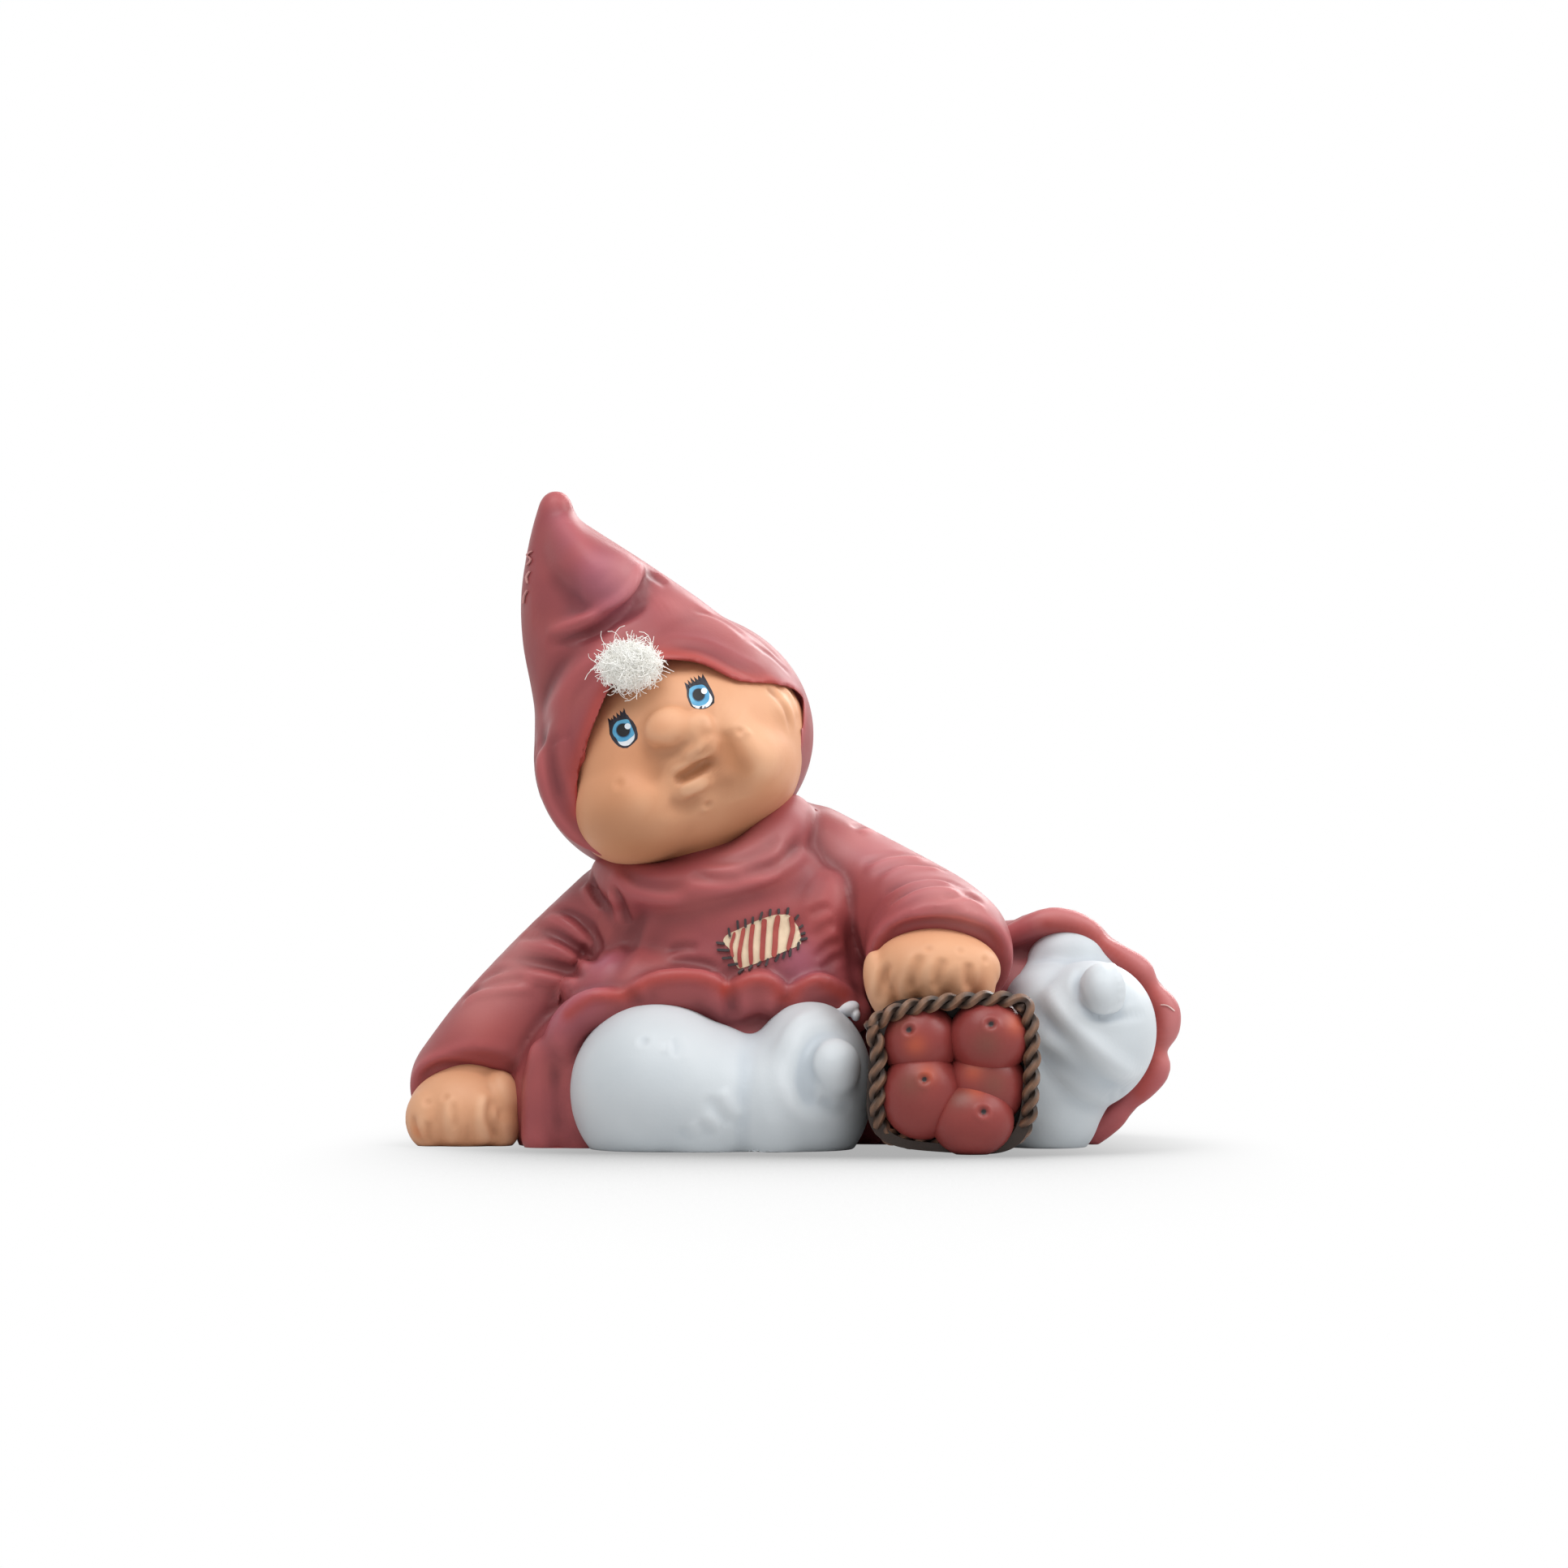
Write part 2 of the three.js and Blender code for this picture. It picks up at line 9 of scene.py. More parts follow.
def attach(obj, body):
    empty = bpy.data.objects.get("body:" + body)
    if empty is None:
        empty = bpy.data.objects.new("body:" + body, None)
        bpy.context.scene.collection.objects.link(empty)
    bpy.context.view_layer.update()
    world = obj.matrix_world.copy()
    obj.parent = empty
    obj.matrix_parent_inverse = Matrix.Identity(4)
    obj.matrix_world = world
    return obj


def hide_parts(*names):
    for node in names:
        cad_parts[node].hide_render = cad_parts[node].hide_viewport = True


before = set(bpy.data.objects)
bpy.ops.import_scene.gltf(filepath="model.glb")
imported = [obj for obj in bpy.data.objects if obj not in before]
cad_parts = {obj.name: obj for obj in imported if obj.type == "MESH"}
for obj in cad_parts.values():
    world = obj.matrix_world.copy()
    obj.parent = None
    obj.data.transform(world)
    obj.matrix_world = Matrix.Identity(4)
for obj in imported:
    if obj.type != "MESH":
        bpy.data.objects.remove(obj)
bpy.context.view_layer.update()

mm = 0.001

# The camera looks level at the doll from far off through a long lens, as in the photograph.
# Places on the doll that are read off the photograph are given in its pixels.
photo_side = 1932
pixels_per_mm = 7.35
camera_distance = 2.0
camera_elevation = radians(1.2)
camera_target = Vector((-1.6, -7.4, 60.9)) * mm
sensor_width = 36

bpy.ops.object.camera_add()
camera = bpy.context.object
camera.rotation_euler = (radians(90) - camera_elevation, 0, 0)
line_of_sight = camera.rotation_euler.to_matrix() @ Vector((0, 0, -1))
camera.location = camera_target - camera_distance * line_of_sight
camera.data.sensor_width = sensor_width
camera.data.lens = sensor_width * camera_distance * pixels_per_mm / (photo_side * mm)
camera.data.clip_start = 0.1
camera.data.clip_end = 20
bpy.context.scene.camera = camera
bpy.context.scene.view_settings.view_transform = "Standard"


def sight(pixel):
    """The line of sight through a pixel of the photograph: where it starts and its way."""
    slope = sensor_width / camera.data.lens / photo_side
    across = (pixel[0] - photo_side / 2) * slope
    up = (photo_side / 2 - pixel[1]) * slope
    way = camera.rotation_euler.to_matrix() @ Vector((across, up, -1))
    return camera.location, way.normalized()


# Head: cast resin, airbrushed flesh. An egg leant over to the doll's right with full cheeks,
# a button nose, pursed lips and one ear that shows. Its neck is pegged into the tunic.
# It is modelled as clay is: balls pressed together, smoothed, then worked along lines.
def deselect():
    bpy.ops.object.select_all(action="DESELECT")


def only(piece):
    deselect()
    piece.select_set(True)
    bpy.context.view_layer.objects.active = piece


def ball(middle, size, roll=0):
    """A ball of clay in mm: its middle, its size across, deep and tall, and its roll in degrees."""
    deselect()
    bpy.ops.mesh.primitive_uv_sphere_add(
        segments=48, ring_count=24, radius=0.5,
        location=Vector(middle) * mm, rotation=(0, -radians(roll), 0), scale=Vector(size) * mm,
    )
    return bpy.context.object


def smooth_line(points, steps=8):
    """A smooth line through points, with a number of steps between each two."""
    p = np.array([points[0], *points, points[-1]], float)
    t = np.linspace(0, 1, steps, endpoint=False)[:, None]
    line = [
        0.5 * (2 * b + (c - a) * t + (2 * a - 5 * b + 4 * c - d) * t**2 + (3 * b - a - 3 * c + d) * t**3)
        for a, b, c, d in zip(p, p[1:], p[2:], p[3:])
    ]
    return np.concatenate([*line, p[-1:]])


def rolled(stations, steps=5):
    """A roll of clay in mm through stations of x, y, z and radius: a chain of balls."""
    return [ball(s[:3], [2 * s[3]] * 3) for s in smooth_line(stations, steps)]


def apply_modifier(piece, kind, **settings):
    only(piece)
    modifier = piece.modifiers.new(kind.lower(), kind)
    for name, value in settings.items():
        setattr(modifier, name, value)
    bpy.ops.object.modifier_apply(modifier=modifier.name)


def pressed(name, lumps, grain, soft):
    """One body of clay from balls, rolls and bodies, meshed at a grain in mm and smoothed so often."""
    deselect()
    for lump in lumps:
        lump.select_set(True)
    bpy.context.view_layer.objects.active = lumps[0]
    if len(lumps) > 1:
        bpy.ops.object.join()
    piece = bpy.context.object
    piece.name = name
    bpy.ops.object.transform_apply(location=True, rotation=True, scale=True)
    apply_modifier(piece, "REMESH", mode="VOXEL", voxel_size=grain * mm)
    apply_modifier(piece, "SMOOTH", factor=0.5, iterations=soft)
    return piece


def points_of(piece):
    co = np.empty(3 * len(piece.data.vertices), np.float32)
    piece.data.vertices.foreach_get("co", co)
    return co.reshape(-1, 3).astype(float)


def normals_of(piece):
    normals = np.empty(3 * len(piece.data.vertices), np.float32)
    piece.data.vertex_normals.foreach_get("vector", normals)
    return normals.reshape(-1, 3).astype(float)


def move_points(piece, co):
    piece.data.vertices.foreach_set("co", co.astype(np.float32).ravel())
    piece.data.update()


def surface_of(piece):
    return BVHTree.FromObject(piece, bpy.context.evaluated_depsgraph_get())


def line_on(surface, points):
    """A smooth line on a surface: under pixels of the photograph, or nearest to points in mm."""
    line = []
    for point in smooth_line(points):
        if len(point) == 2:
            hit = surface.ray_cast(*sight(point))[0]
        else:
            hit = surface.find_nearest(Vector(point) * mm)[0]
        if hit is not None:
            line.append(hit)
    return np.array(line)


def nearest_on(line, co):
    """For each point the index of the line's nearest point and the way from it."""
    way = co[:, None, :] - line[None, :, :]
    index = np.argmin((way**2).sum(2), axis=1)
    return index, way[np.arange(len(co)), index]


def set_mask(piece, name, values):
    mask = piece.data.attributes.get(name) or piece.data.attributes.new(name, "FLOAT", "POINT")
    mask.data.foreach_set("value", values.astype(np.float32))


def mask_of(piece, name):
    values = np.zeros(len(piece.data.vertices), np.float32)
    if name in piece.data.attributes:
        piece.data.attributes[name].data.foreach_get("value", values)
    return values.astype(float)


def work(piece, strokes, soft=4):
    """Works a piece of clay along lines. A stroke is its kind, its width and height in mm and its line.
    A fold rises on the right of the line and sinks on the left, as the doll is looked at."""
    surface = surface_of(piece)
    co, normals = points_of(piece), normals_of(piece)
    relief = np.zeros(len(co))
    for kind, width, height, points in strokes:
        line = line_on(surface, points)
        if len(line) < 1:
            continue
        reach = 3 * width * mm
        near = np.all((co > line.min(0) - reach) & (co < line.max(0) + reach), axis=1)
        if not near.any():
            continue
        index, way = nearest_on(line, co[near])
        u = np.linalg.norm(way, axis=1) / (width * mm)
        share = index / max(len(line) - 1, 1)
        taper = np.clip(np.sin(np.pi * share) * 1.6, 0, 1) if len(points) > 1 else 1
        if kind == "fold":
            tangent = np.gradient(line, axis=0)[index]
            tangent /= np.maximum(np.linalg.norm(tangent, axis=1), 1e-9)[:, None]
            u = (np.cross(tangent, normals[near]) * way).sum(1) / (width * mm)
            shape = u * np.exp(0.5 - u**2 / 2) * np.exp(-(u / 2) ** 4)
        elif kind == "groove":
            shape = 0.3 * np.exp(-((u - 1.7) ** 2) / 0.5) - np.exp(-(u**2))
        else:
            shape = np.exp(-(u**2))
        relief[near] += height * taper * shape
    move_points(piece, co + normals * relief[:, None] * mm)
    apply_modifier(piece, "SMOOTH", factor=0.5, iterations=soft)
    set_mask(piece, "relief", mask_of(piece, "relief") + relief)


def spray(piece, mask, spots):
    """Airbrushes a mask: a spot is its width in mm, its strength and its point or line."""
    surface = surface_of(piece)
    co = points_of(piece)
    values = mask_of(piece, mask)
    for width, strength, points in spots:
        line = line_on(surface, points)
        if len(line) < 1:
            continue
        reach = 3 * width * mm
        near = np.all((co > line.min(0) - reach) & (co < line.max(0) + reach), axis=1)
        if near.any():
            _, way = nearest_on(line, co[near])
            values[near] += strength * np.exp(-(way**2).sum(1) / (width * mm) ** 2)
    set_mask(piece, mask, values)


def edited(piece, *steps):
    """Takes the whole mesh of a piece through steps, each an operator and its settings."""
    only(piece)
    bpy.ops.object.mode_set(mode="EDIT")
    for operator, settings in steps:
        bpy.ops.mesh.select_all(action="SELECT")
        operator(**settings)
    bpy.ops.object.mode_set(mode="OBJECT")
    return piece


def sliced(piece, point, way):
    """Cuts a piece off at a plane, given by a point in mm and the way that is cut off."""
    cut = dict(plane_co=Vector(point) * mm, plane_no=way, use_fill=True, clear_outer=True)
    return edited(piece, (bpy.ops.mesh.bisect, cut))


def stand_on_floor(piece):
    """Cuts the foot of a piece flat at the floor."""
    sliced(piece, (0, 0, 0), (0, 0, -1))


merge_doubles = (bpy.ops.mesh.remove_doubles, dict(threshold=0.001 * mm))
turn_faces_out = (bpy.ops.mesh.normals_make_consistent, dict(inside=False))


# Painted shade goes into hollows and a painted highlight onto ridges, at full strength from these amounts
# on.
relief_full = 0.9  # mm of relief at which the paint of a hollow or a crest is full
bend_full = 0.012  # mm of bend from one point to the next at which it is full
mask_rounds = 12


def shade_masks(piece):
    """Masks of painted shade in hollows and a painted highlight on ridges, from the strokes and from how
    the surface bends; the shade also stands for the doll's own darker airbrushing in its hollows.
    """
    co, normals = points_of(piece), normals_of(piece)
    edges = np.empty(2 * len(piece.data.edges), np.int64)
    piece.data.edges.foreach_get("vertices", edges)
    start, end = edges.reshape(-1, 2).T
    count = np.maximum(np.bincount(edges, minlength=len(co)), 1)

    def neighbours(values):
        total = np.bincount(start, values[end], len(co)) + np.bincount(end, values[start], len(co))
        return total / count

    mean = np.stack([neighbours(co[:, axis]) for axis in range(3)], axis=1)
    bend = ((mean - co) * normals).sum(1) / mm
    for _ in range(mask_rounds):
        bend = neighbours(bend)
    relief = mask_of(piece, "relief") / relief_full
    set_mask(piece, "hollow_shade", np.clip(bend / bend_full, 0, 1) + np.clip(-relief, 0, 1))
    set_mask(piece, "crest_highlight", np.clip(-bend / bend_full - 0.5, 0, 1) + np.clip(relief, 0, 1))


def finished(piece, nodes, material, sharp=50):
    """Smooth shading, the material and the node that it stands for."""
    only(piece)
    piece.data.materials.clear()
    piece.data.materials.append(material)
    bpy.ops.object.shade_smooth_by_angle(angle=radians(sharp))
    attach(piece, "root")
    if nodes:
        piece.name = nodes[0] + "_piece"
        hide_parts(*nodes)
    return piece


def linear(colour):
    """A colour written as 0 to 255 in red, green and blue, as the shader takes it."""
    share = np.array(colour) / 255
    return (*np.where(share <= 0.04045, share / 12.92, ((share + 0.055) / 1.055) ** 2.4), 1)


def add_node(material, kind, **settings):
    node = material.node_tree.nodes.new(kind)
    for name, value in settings.items():
        setattr(node, name, value)
    return node


def wire(material, output, target):
    material.node_tree.links.new(output, target)


def new_material(name):
    material = bpy.data.materials.new(name)
    material.use_nodes = True
    shader = material.node_tree.nodes["Principled BSDF"]
    place = add_node(material, "ShaderNodeTexCoord").outputs["Object"]
    return material, shader, place


def mottle(material, place, size, detail=3, low=0.35, high=0.65):
    """Soft patches of a size in mm, as a share from 0 to 1."""
    noise = add_node(material, "ShaderNodeTexNoise")
    noise.inputs["Scale"].default_value = 1 / (size * mm)
    noise.inputs["Detail"].default_value = detail
    wire(material, place, noise.inputs["Vector"])
    spread = add_node(material, "ShaderNodeMapRange")
    spread.inputs["From Min"].default_value = low
    spread.inputs["From Max"].default_value = high
    wire(material, noise.outputs["Fac"], spread.inputs["Value"])
    return spread.outputs["Result"]


def masked(material, mask, strength=1.0):
    """A mask of the piece as a share from 0 to 1."""
    read = add_node(material, "ShaderNodeAttribute", attribute_name=mask)
    share = add_node(material, "ShaderNodeMath", operation="MULTIPLY", use_clamp=True)
    wire(material, read.outputs["Fac"], share.inputs[0])
    share.inputs[1].default_value = strength
    return share.outputs["Value"]


def blended(material, share, under, over, strength=1.0):
    """Mixes a colour over another by a share. Either is a colour or an output."""
    scaled = add_node(material, "ShaderNodeMath", operation="MULTIPLY", use_clamp=True)
    wire(material, share, scaled.inputs[0])
    scaled.inputs[1].default_value = strength
    mix = add_node(material, "ShaderNodeMix", data_type="RGBA")
    wire(material, scaled.outputs["Value"], mix.inputs["Factor"])
    for value, target in ((under, mix.inputs[6]), (over, mix.inputs[7])):
        if isinstance(value, tuple):
            target.default_value = value
        else:
            wire(material, value, target)
    return mix.outputs[2]


def brushed_surface(material, shader, place, rough, grain_size, grain_depth):
    """Satin paint: a little uneven gloss, and the fine grain that the brush leaves."""
    gloss = add_node(material, "ShaderNodeMapRange")
    gloss.inputs["To Min"].default_value = rough - 0.05
    gloss.inputs["To Max"].default_value = rough + 0.07
    wire(material, mottle(material, place, 6, 5), gloss.inputs["Value"])
    wire(material, gloss.outputs["Result"], shader.inputs["Roughness"])
    shader.inputs["Specular IOR Level"].default_value = 0.32
    bump = add_node(material, "ShaderNodeBump")
    bump.inputs["Strength"].default_value = 0.5
    bump.inputs["Distance"].default_value = grain_depth * mm
    wire(material, mottle(material, place, grain_size, 6, 0.2, 0.8), bump.inputs["Height"])
    wire(material, bump.outputs["Normal"], shader.inputs["Normal"])


def airbrushed(name, base, other, hollow_shade, crest_highlight, sprays, rough=0.45, grain=(0.5, 0.02)):
    """Paint with a second tone in patches, painted shade in hollows, a painted highlight on ridges and
    sprayed tints, some of which are painted light as well.
    """
    material, shader, place = new_material(name)
    colour = blended(material, mottle(material, place, 9), linear(base), linear(other), 0.6)
    # painted shade in the hollows and a painted highlight on the ridges
    colour = blended(material, masked(material, "hollow_shade"), colour, linear(hollow_shade), 0.6)
    colour = blended(material, masked(material, "crest_highlight"), colour, linear(crest_highlight), 0.45)
    for mask, tint in sprays.items():
        colour = blended(material, masked(material, mask), colour, linear(tint))
    wire(material, colour, shader.inputs["Base Color"])
    brushed_surface(material, shader, place, rough, *grain)
    return material


head_tilt = 22
head_form = [
    ball((-18.3, 4, 66), (42.6, 43, 37), head_tilt),
    ball((-15, 4, 48), (18, 18, 14)),
    ball((-25.4, -2.4, 57.8), (25, 31, 21.4), head_tilt),
    ball((-9.5, -2, 64.6), (21, 30, 21), head_tilt),
]
head = pressed("head", head_form, 0.6, 60)
features = [
    ball((-20.8, -15.9, 70.1), (8.8, 8, 7.6), head_tilt),
    ball((-16.4, -15.6, 70.2), (7, 7, 6.6), head_tilt),
    ball((-15.4, -15.4, 66.8), (9, 7, 6), head_tilt),
    ball((-16.6, -14.6, 60.5), (11, 5.2, 4.4), head_tilt),
    ball((-3.4, -5.6, 72.6), (5.6, 7, 8), 10),
    ball((-3.1, -4, 71.2), (7, 9, 12), 8),
]
head = pressed("head", [head, *features], 0.4, 20)
face_strokes = [
    ("groove", 2.0, 0.3, [(822, 984), (844, 991), (868, 983)]),
    ("fold", 3.8, 0.8, [(934, 976), (923, 950), (908, 930), (890, 912), (876, 898)]),
    ("groove", 1.8, 0.55, [(924, 956), (910, 934), (896, 914), (890, 900)]),
    ("fold", 3.4, 0.5, [(790, 905), (785, 928), (788, 950), (798, 966), (814, 976)]),
    ("groove", 1.4, 0.25, [(806, 922), (826, 921), (842, 910)]),
    ("groove", 1.0, 0.25, [(868, 884), (866, 900), (876, 910)]),
    ("groove", 0.9, 0.5, [(944, 846), (958, 858), (970, 876), (976, 900)]),
    ("ridge", 0.9, 0.5, [(962, 846), (974, 860), (982, 884)]),
]
work(head, face_strokes, soft=6)
mouth_and_dimples = [
    ("groove", 0.95, 1.3, [(830, 962), (842, 957), (855, 950), (868, 942), (881, 936)]),
    ("groove", 0.6, 0.35, [(912, 901)]),
    ("ridge", 0.6, 0.35, [(921, 903)]),
    ("groove", 0.6, 0.35, [(873, 991)]),
    ("ridge", 0.6, 0.35, [(867, 998)]),
    ("groove", 0.8, 0.25, [(762, 966)]),
]
work(head, mouth_and_dimples, soft=2)
shade_masks(head)
spray(head, "blush", [
    (6, 0.5, [(760, 930), (770, 965)]),
    (4, 0.3, [(905, 930)]),
    (3, 0.3, [(815, 900)]),
])
# Painted shade under the chin, in the crease of the cheek and along the mouth's slit.
spray(head, "face_shade", [
    (6, 0.6, [(750, 1015), (795, 1048), (860, 1052), (915, 1025)]),
    (1.8, 0.55, [(918, 948), (904, 928), (894, 908)]),
    (0.8, 0.9, [(836, 960), (855, 950), (872, 940)]),
])
# The flesh's third and fourth colours are painted shade for the hollows and a painted highlight for the
# ridges; its last tint is painted shade, while the blush is the doll's own paint.
flesh_paint = airbrushed(
    "flesh_paint", (220, 164, 126), (214, 154, 116), (166, 112, 78), (238, 192, 156),
    {"blush": (218, 142, 98), "face_shade": (176, 120, 82)}, 0.5,
)
finished(head, ["head"], flesh_paint)


# Eyes: painted on the head by hand, layer over layer: the dark outline with its lashes, the
# white, the blue iris, its light ring, the pupil and the glint.
def cast_on(surface, pixels, lift):
    """Points on a surface under pixels of the photograph, lifted off it in mm."""
    spots = []
    for pixel in pixels:
        start, way = sight(pixel)
        hit, normal = surface.ray_cast(start, way)[:2]
        if hit is None:
            hit, normal = surface.find_nearest(start + way * (camera_target - start).length)[:2]
        spots.append(hit + normal * lift * mm)
    return np.array(spots)


def film(surface, rows, lift, closed=False):
    """A thin coat of paint on a surface, through rows of pixels of the photograph."""
    across, along = rows.shape[:2]
    deselect()
    bpy.ops.mesh.primitive_grid_add(x_subdivisions=along - 1, y_subdivisions=across - 1, size=mm)
    coat = bpy.context.object
    move_points(coat, cast_on(surface, rows.reshape(-1, 2), lift))
    if closed:
        edited(coat, merge_doubles)
    apply_modifier(coat, "SOLIDIFY", thickness=(lift + 0.1) * mm, offset=-1)
    return edited(coat, turn_faces_out)


def painted_shape(surface, outline, lift, steps=4, rings=6):
    """A coat of paint inside a closed outline of pixels, which is seen whole from its middle."""
    line = np.array([*outline, outline[0]], float)
    if steps:
        line = smooth_line(line, steps)
    middle = line[:-1].mean(axis=0)
    shares = np.linspace(0, 1, rings)[:, None, None]
    return film(surface, middle + shares * (line - middle), lift, closed=True)


def painted_dot(surface, middle, radius, lift):
    """A round coat of paint: its middle and radius in pixels."""
    angles = np.linspace(0, 2 * np.pi, 33)
    ring = np.stack([np.cos(angles), np.sin(angles)], axis=1) * radius
    shares = np.linspace(0, 1, 5)[:, None, None]
    return film(surface, np.array(middle) + shares * ring, lift, closed=True)


def brush_line(surface, points, width, lift):
    """A line of paint through pixels, with a width in pixels and round ends."""
    line = smooth_line(points)
    ahead = np.gradient(line, axis=0)
    ahead /= np.linalg.norm(ahead, axis=1)[:, None]
    side = np.stack([-ahead[:, 1], ahead[:, 0]], axis=1)
    share = np.linspace(-1, 1, len(line))
    half = 0.5 * width * np.sqrt(1.02 - share**8)[:, None]
    rows = np.stack([line + side * half * offset for offset in (-1, -0.5, 0, 0.5, 1)])
    return film(surface, rows, lift)


def joined(name, parts):
    deselect()
    for part in parts:
        part.select_set(True)
    bpy.context.view_layer.objects.active = parts[0]
    if len(parts) > 1:
        bpy.ops.object.join()
    piece = bpy.context.object
    piece.name = name
    bpy.ops.object.transform_apply(location=True, rotation=True, scale=True)
    return piece


def hand_paint(name, colour, other, rough=0.35, size=2):
    """Paint laid on with a brush: a colour that varies a little."""
    material, shader, place = new_material(name)
    tone = blended(material, mottle(material, place, size), linear(colour), linear(other))
    wire(material, tone, shader.inputs["Base Color"])
    brushed_surface(material, shader, place, rough, 0.4, 0.01)
    return material


def pairs_of(*values):
    return list(zip(values[::2], values[1::2]))


right_eye = {
    "outline": pairs_of(
        748.9, 884.6, 753.8, 892.1, 753.2, 884.3, 756.5, 887.9, 755.4, 880.8, 760.3, 885, 759.4, 877.9,
        765, 883, 763.7, 875.2, 770, 881, 768.6, 872.3, 775.3, 884.1, 780.2, 889, 784, 895.7,
        786, 904.6, 785.5, 910, 781.5, 914.9, 777, 918.9, 773, 921.6, 767.7, 921.8, 762.3, 919.8,
        757.9, 915.8, 754.3, 911.3, 751.2, 904.6, 750.5, 895.7,
    ),
    "white": pairs_of(
        761, 889, 766.8, 887.2, 773.9, 886.8, 777, 892.1, 780.2, 899.3, 782, 904.6, 781.5, 910.4,
        778, 915.4, 773.9, 918.5, 767.7, 918.9, 763.2, 916.3, 759.6, 910, 755.6, 904.6, 755.4, 898.4,
        757.4, 893,
    ),
    "iris": pairs_of(
        761, 889, 766.8, 887.2, 773.9, 886.8, 777, 892.1, 780.2, 899.3, 781.6, 905, 775.7, 910.4,
        771.3, 913.1, 762.8, 913.8, 759.6, 910, 755.6, 904.6, 755.4, 898.4, 757.4, 893,
    ),
    "pupil": (768.3, 900),
    "pupil_radius": 8,
    "glint": (773.9, 895.3),
}
left_eye = {
    "outline": pairs_of(
        843.2, 840.7, 849.4, 847.9, 847.2, 837.6, 853.4, 844.5, 850.5, 834.7, 857.6, 841.4,
        854.5, 833.4, 862.6, 840.3, 859.9, 831.9, 868.1, 838.8, 865.6, 830.3, 870.6, 838.4,
        873.7, 844.5, 877.1, 850.6, 880.2, 858.3, 880.2, 865.9, 876.3, 869.4, 872.5, 872,
        867.5, 873.6, 861.8, 874, 856, 873, 851.5, 870.1, 848.4, 864, 846.5, 858.3, 846.1, 850.6,
    ),
    "white": pairs_of(
        849.5, 849.1, 853.8, 846, 859.5, 844.5, 865.2, 844.1, 869.4, 846.8, 873.3, 852.9,
        876.7, 858.3, 877.5, 863.2, 874, 869.4, 869.4, 872, 863.3, 873.2, 858, 872.8, 853.4, 869.4,
        850.3, 862.1, 848.8, 856.4,
    ),
    "iris": pairs_of(
        849.5, 849.1, 853.8, 846, 859.5, 844.5, 865.2, 844.1, 869.4, 846.8, 873.3, 852.9,
        874, 857.5, 873.3, 862.9, 869.4, 867.5, 863.7, 869.8, 858, 869.8, 853, 867.8, 850.3, 862.1,
        848.8, 856.4,
    ),
    "pupil": (860.8, 856.4),
    "pupil_radius": 7.3,
    "glint": (867.5, 852),
}
coat_lift = 0.03
eye_paints = {
    "eye_lines": hand_paint("eye_line_paint", (30, 28, 32), (48, 48, 60), 0.5),
    "eye_whites": hand_paint("eye_white_paint", (238, 240, 243), (224, 230, 236)),
    "irises": hand_paint("iris_paint", (72, 148, 192), (104, 180, 214)),
    "iris_rings": hand_paint("iris_ring_paint", (46, 98, 136), (60, 116, 152)),
    "pupils": hand_paint("pupil_paint", (10, 12, 16), (16, 20, 24), 0.5),
    "glints": hand_paint("glint_paint", (240, 246, 250), (228, 238, 246)),
}
coats = {name: [] for name in eye_paints}
head_surface = surface_of(head)
for eye in (right_eye, left_eye):
    coats["eye_lines"].append(painted_shape(head_surface, eye["outline"], coat_lift, steps=0))
    coats["eye_whites"].append(painted_shape(head_surface, eye["white"], 2 * coat_lift))
    coats["irises"].append(painted_shape(head_surface, eye["iris"], 3 * coat_lift))
    coats["iris_rings"].append(
        painted_dot(head_surface, eye["pupil"], eye["pupil_radius"] + 1, 4 * coat_lift)
    )
    coats["pupils"].append(painted_dot(head_surface, eye["pupil"], eye["pupil_radius"], 5 * coat_lift))
    coats["glints"].append(painted_dot(head_surface, eye["glint"], 3.7, 6 * coat_lift))
for name, parts in coats.items():
    finished(joined(name, parts), [], eye_paints[name])


# Hood: cast with the cloth of the tunic, brick red. A cowl that is open at the face and runs up
# into a point, folded over on itself above the brow. It is modelled solid, and the face fills it.
hood_form = [
    ball((-19.9, 6.1, 69), (46.8, 46, 42)),
    ball((-18.6, 6, 70.2), (41.4, 44, 35.4)),
    *rolled([
        (-24.2, 6.3, 65, 19.7), (-25.6, 6.8, 74, 18.2), (-28.7, 7.2, 80, 16), (-33, 7.4, 86, 12.9),
        (-36.7, 7, 92, 9.4), (-38.9, 6.6, 98, 6.4), (-40, 6.3, 103, 4.3), (-40.1, 6.1, 107.4, 3),
    ]),
    *rolled([
        (-37.5, 6, 101.5, 4), (-32, 5, 95, 6.5), (-27, 5, 91, 7.1), (-21, 5.5, 87, 7),
        (-15, 6, 83.3, 6.3),
    ]),
    *rolled([
        (-34.5, -4, 78, 3.8), (-37.2, -5, 70, 3.8), (-39.3, -5.4, 63.6, 3.9), (-37.8, -5.6, 57, 3.3),
        (-34.6, -6, 53, 2.8), (-31.4, -6.5, 50.6, 2.4),
    ]),
    *rolled([
        (-39.4, 5, 103.6, 3.4), (-37.2, 2.4, 99.6, 4.8), (-34.2, 0.2, 96.8, 5.8), (-31, -0.8, 94.4, 6.4),
    ]),
]
hood = pressed("hood", hood_form, 0.55, 30)
face_opening = [
    (812, 812), (861, 816), (911, 839), (958, 844), (987, 859), (987, 902), (977, 935), (958, 985),
    (938, 1020), (900, 1060), (840, 1085), (770, 1075), (735, 1036), (716, 995), (715, 948),
    (730, 898), (752, 849), (778, 819),
]


def plate(name, outline, steps=6):
    """A flat plate in the plane of the camera's target, with a smooth closed outline in pixels."""
    line = smooth_line([*outline, outline[0]], steps)[:-1]
    deselect()
    bpy.ops.mesh.primitive_circle_add(vertices=len(line), radius=mm, fill_type="NGON")
    made = bpy.context.object
    made.name = name
    spots = []
    for pixel in line:
        start, way = sight(pixel)
        spots.append(start + way * ((camera_target.y - start.y) / way.y))
    move_points(made, np.array(spots))
    return made


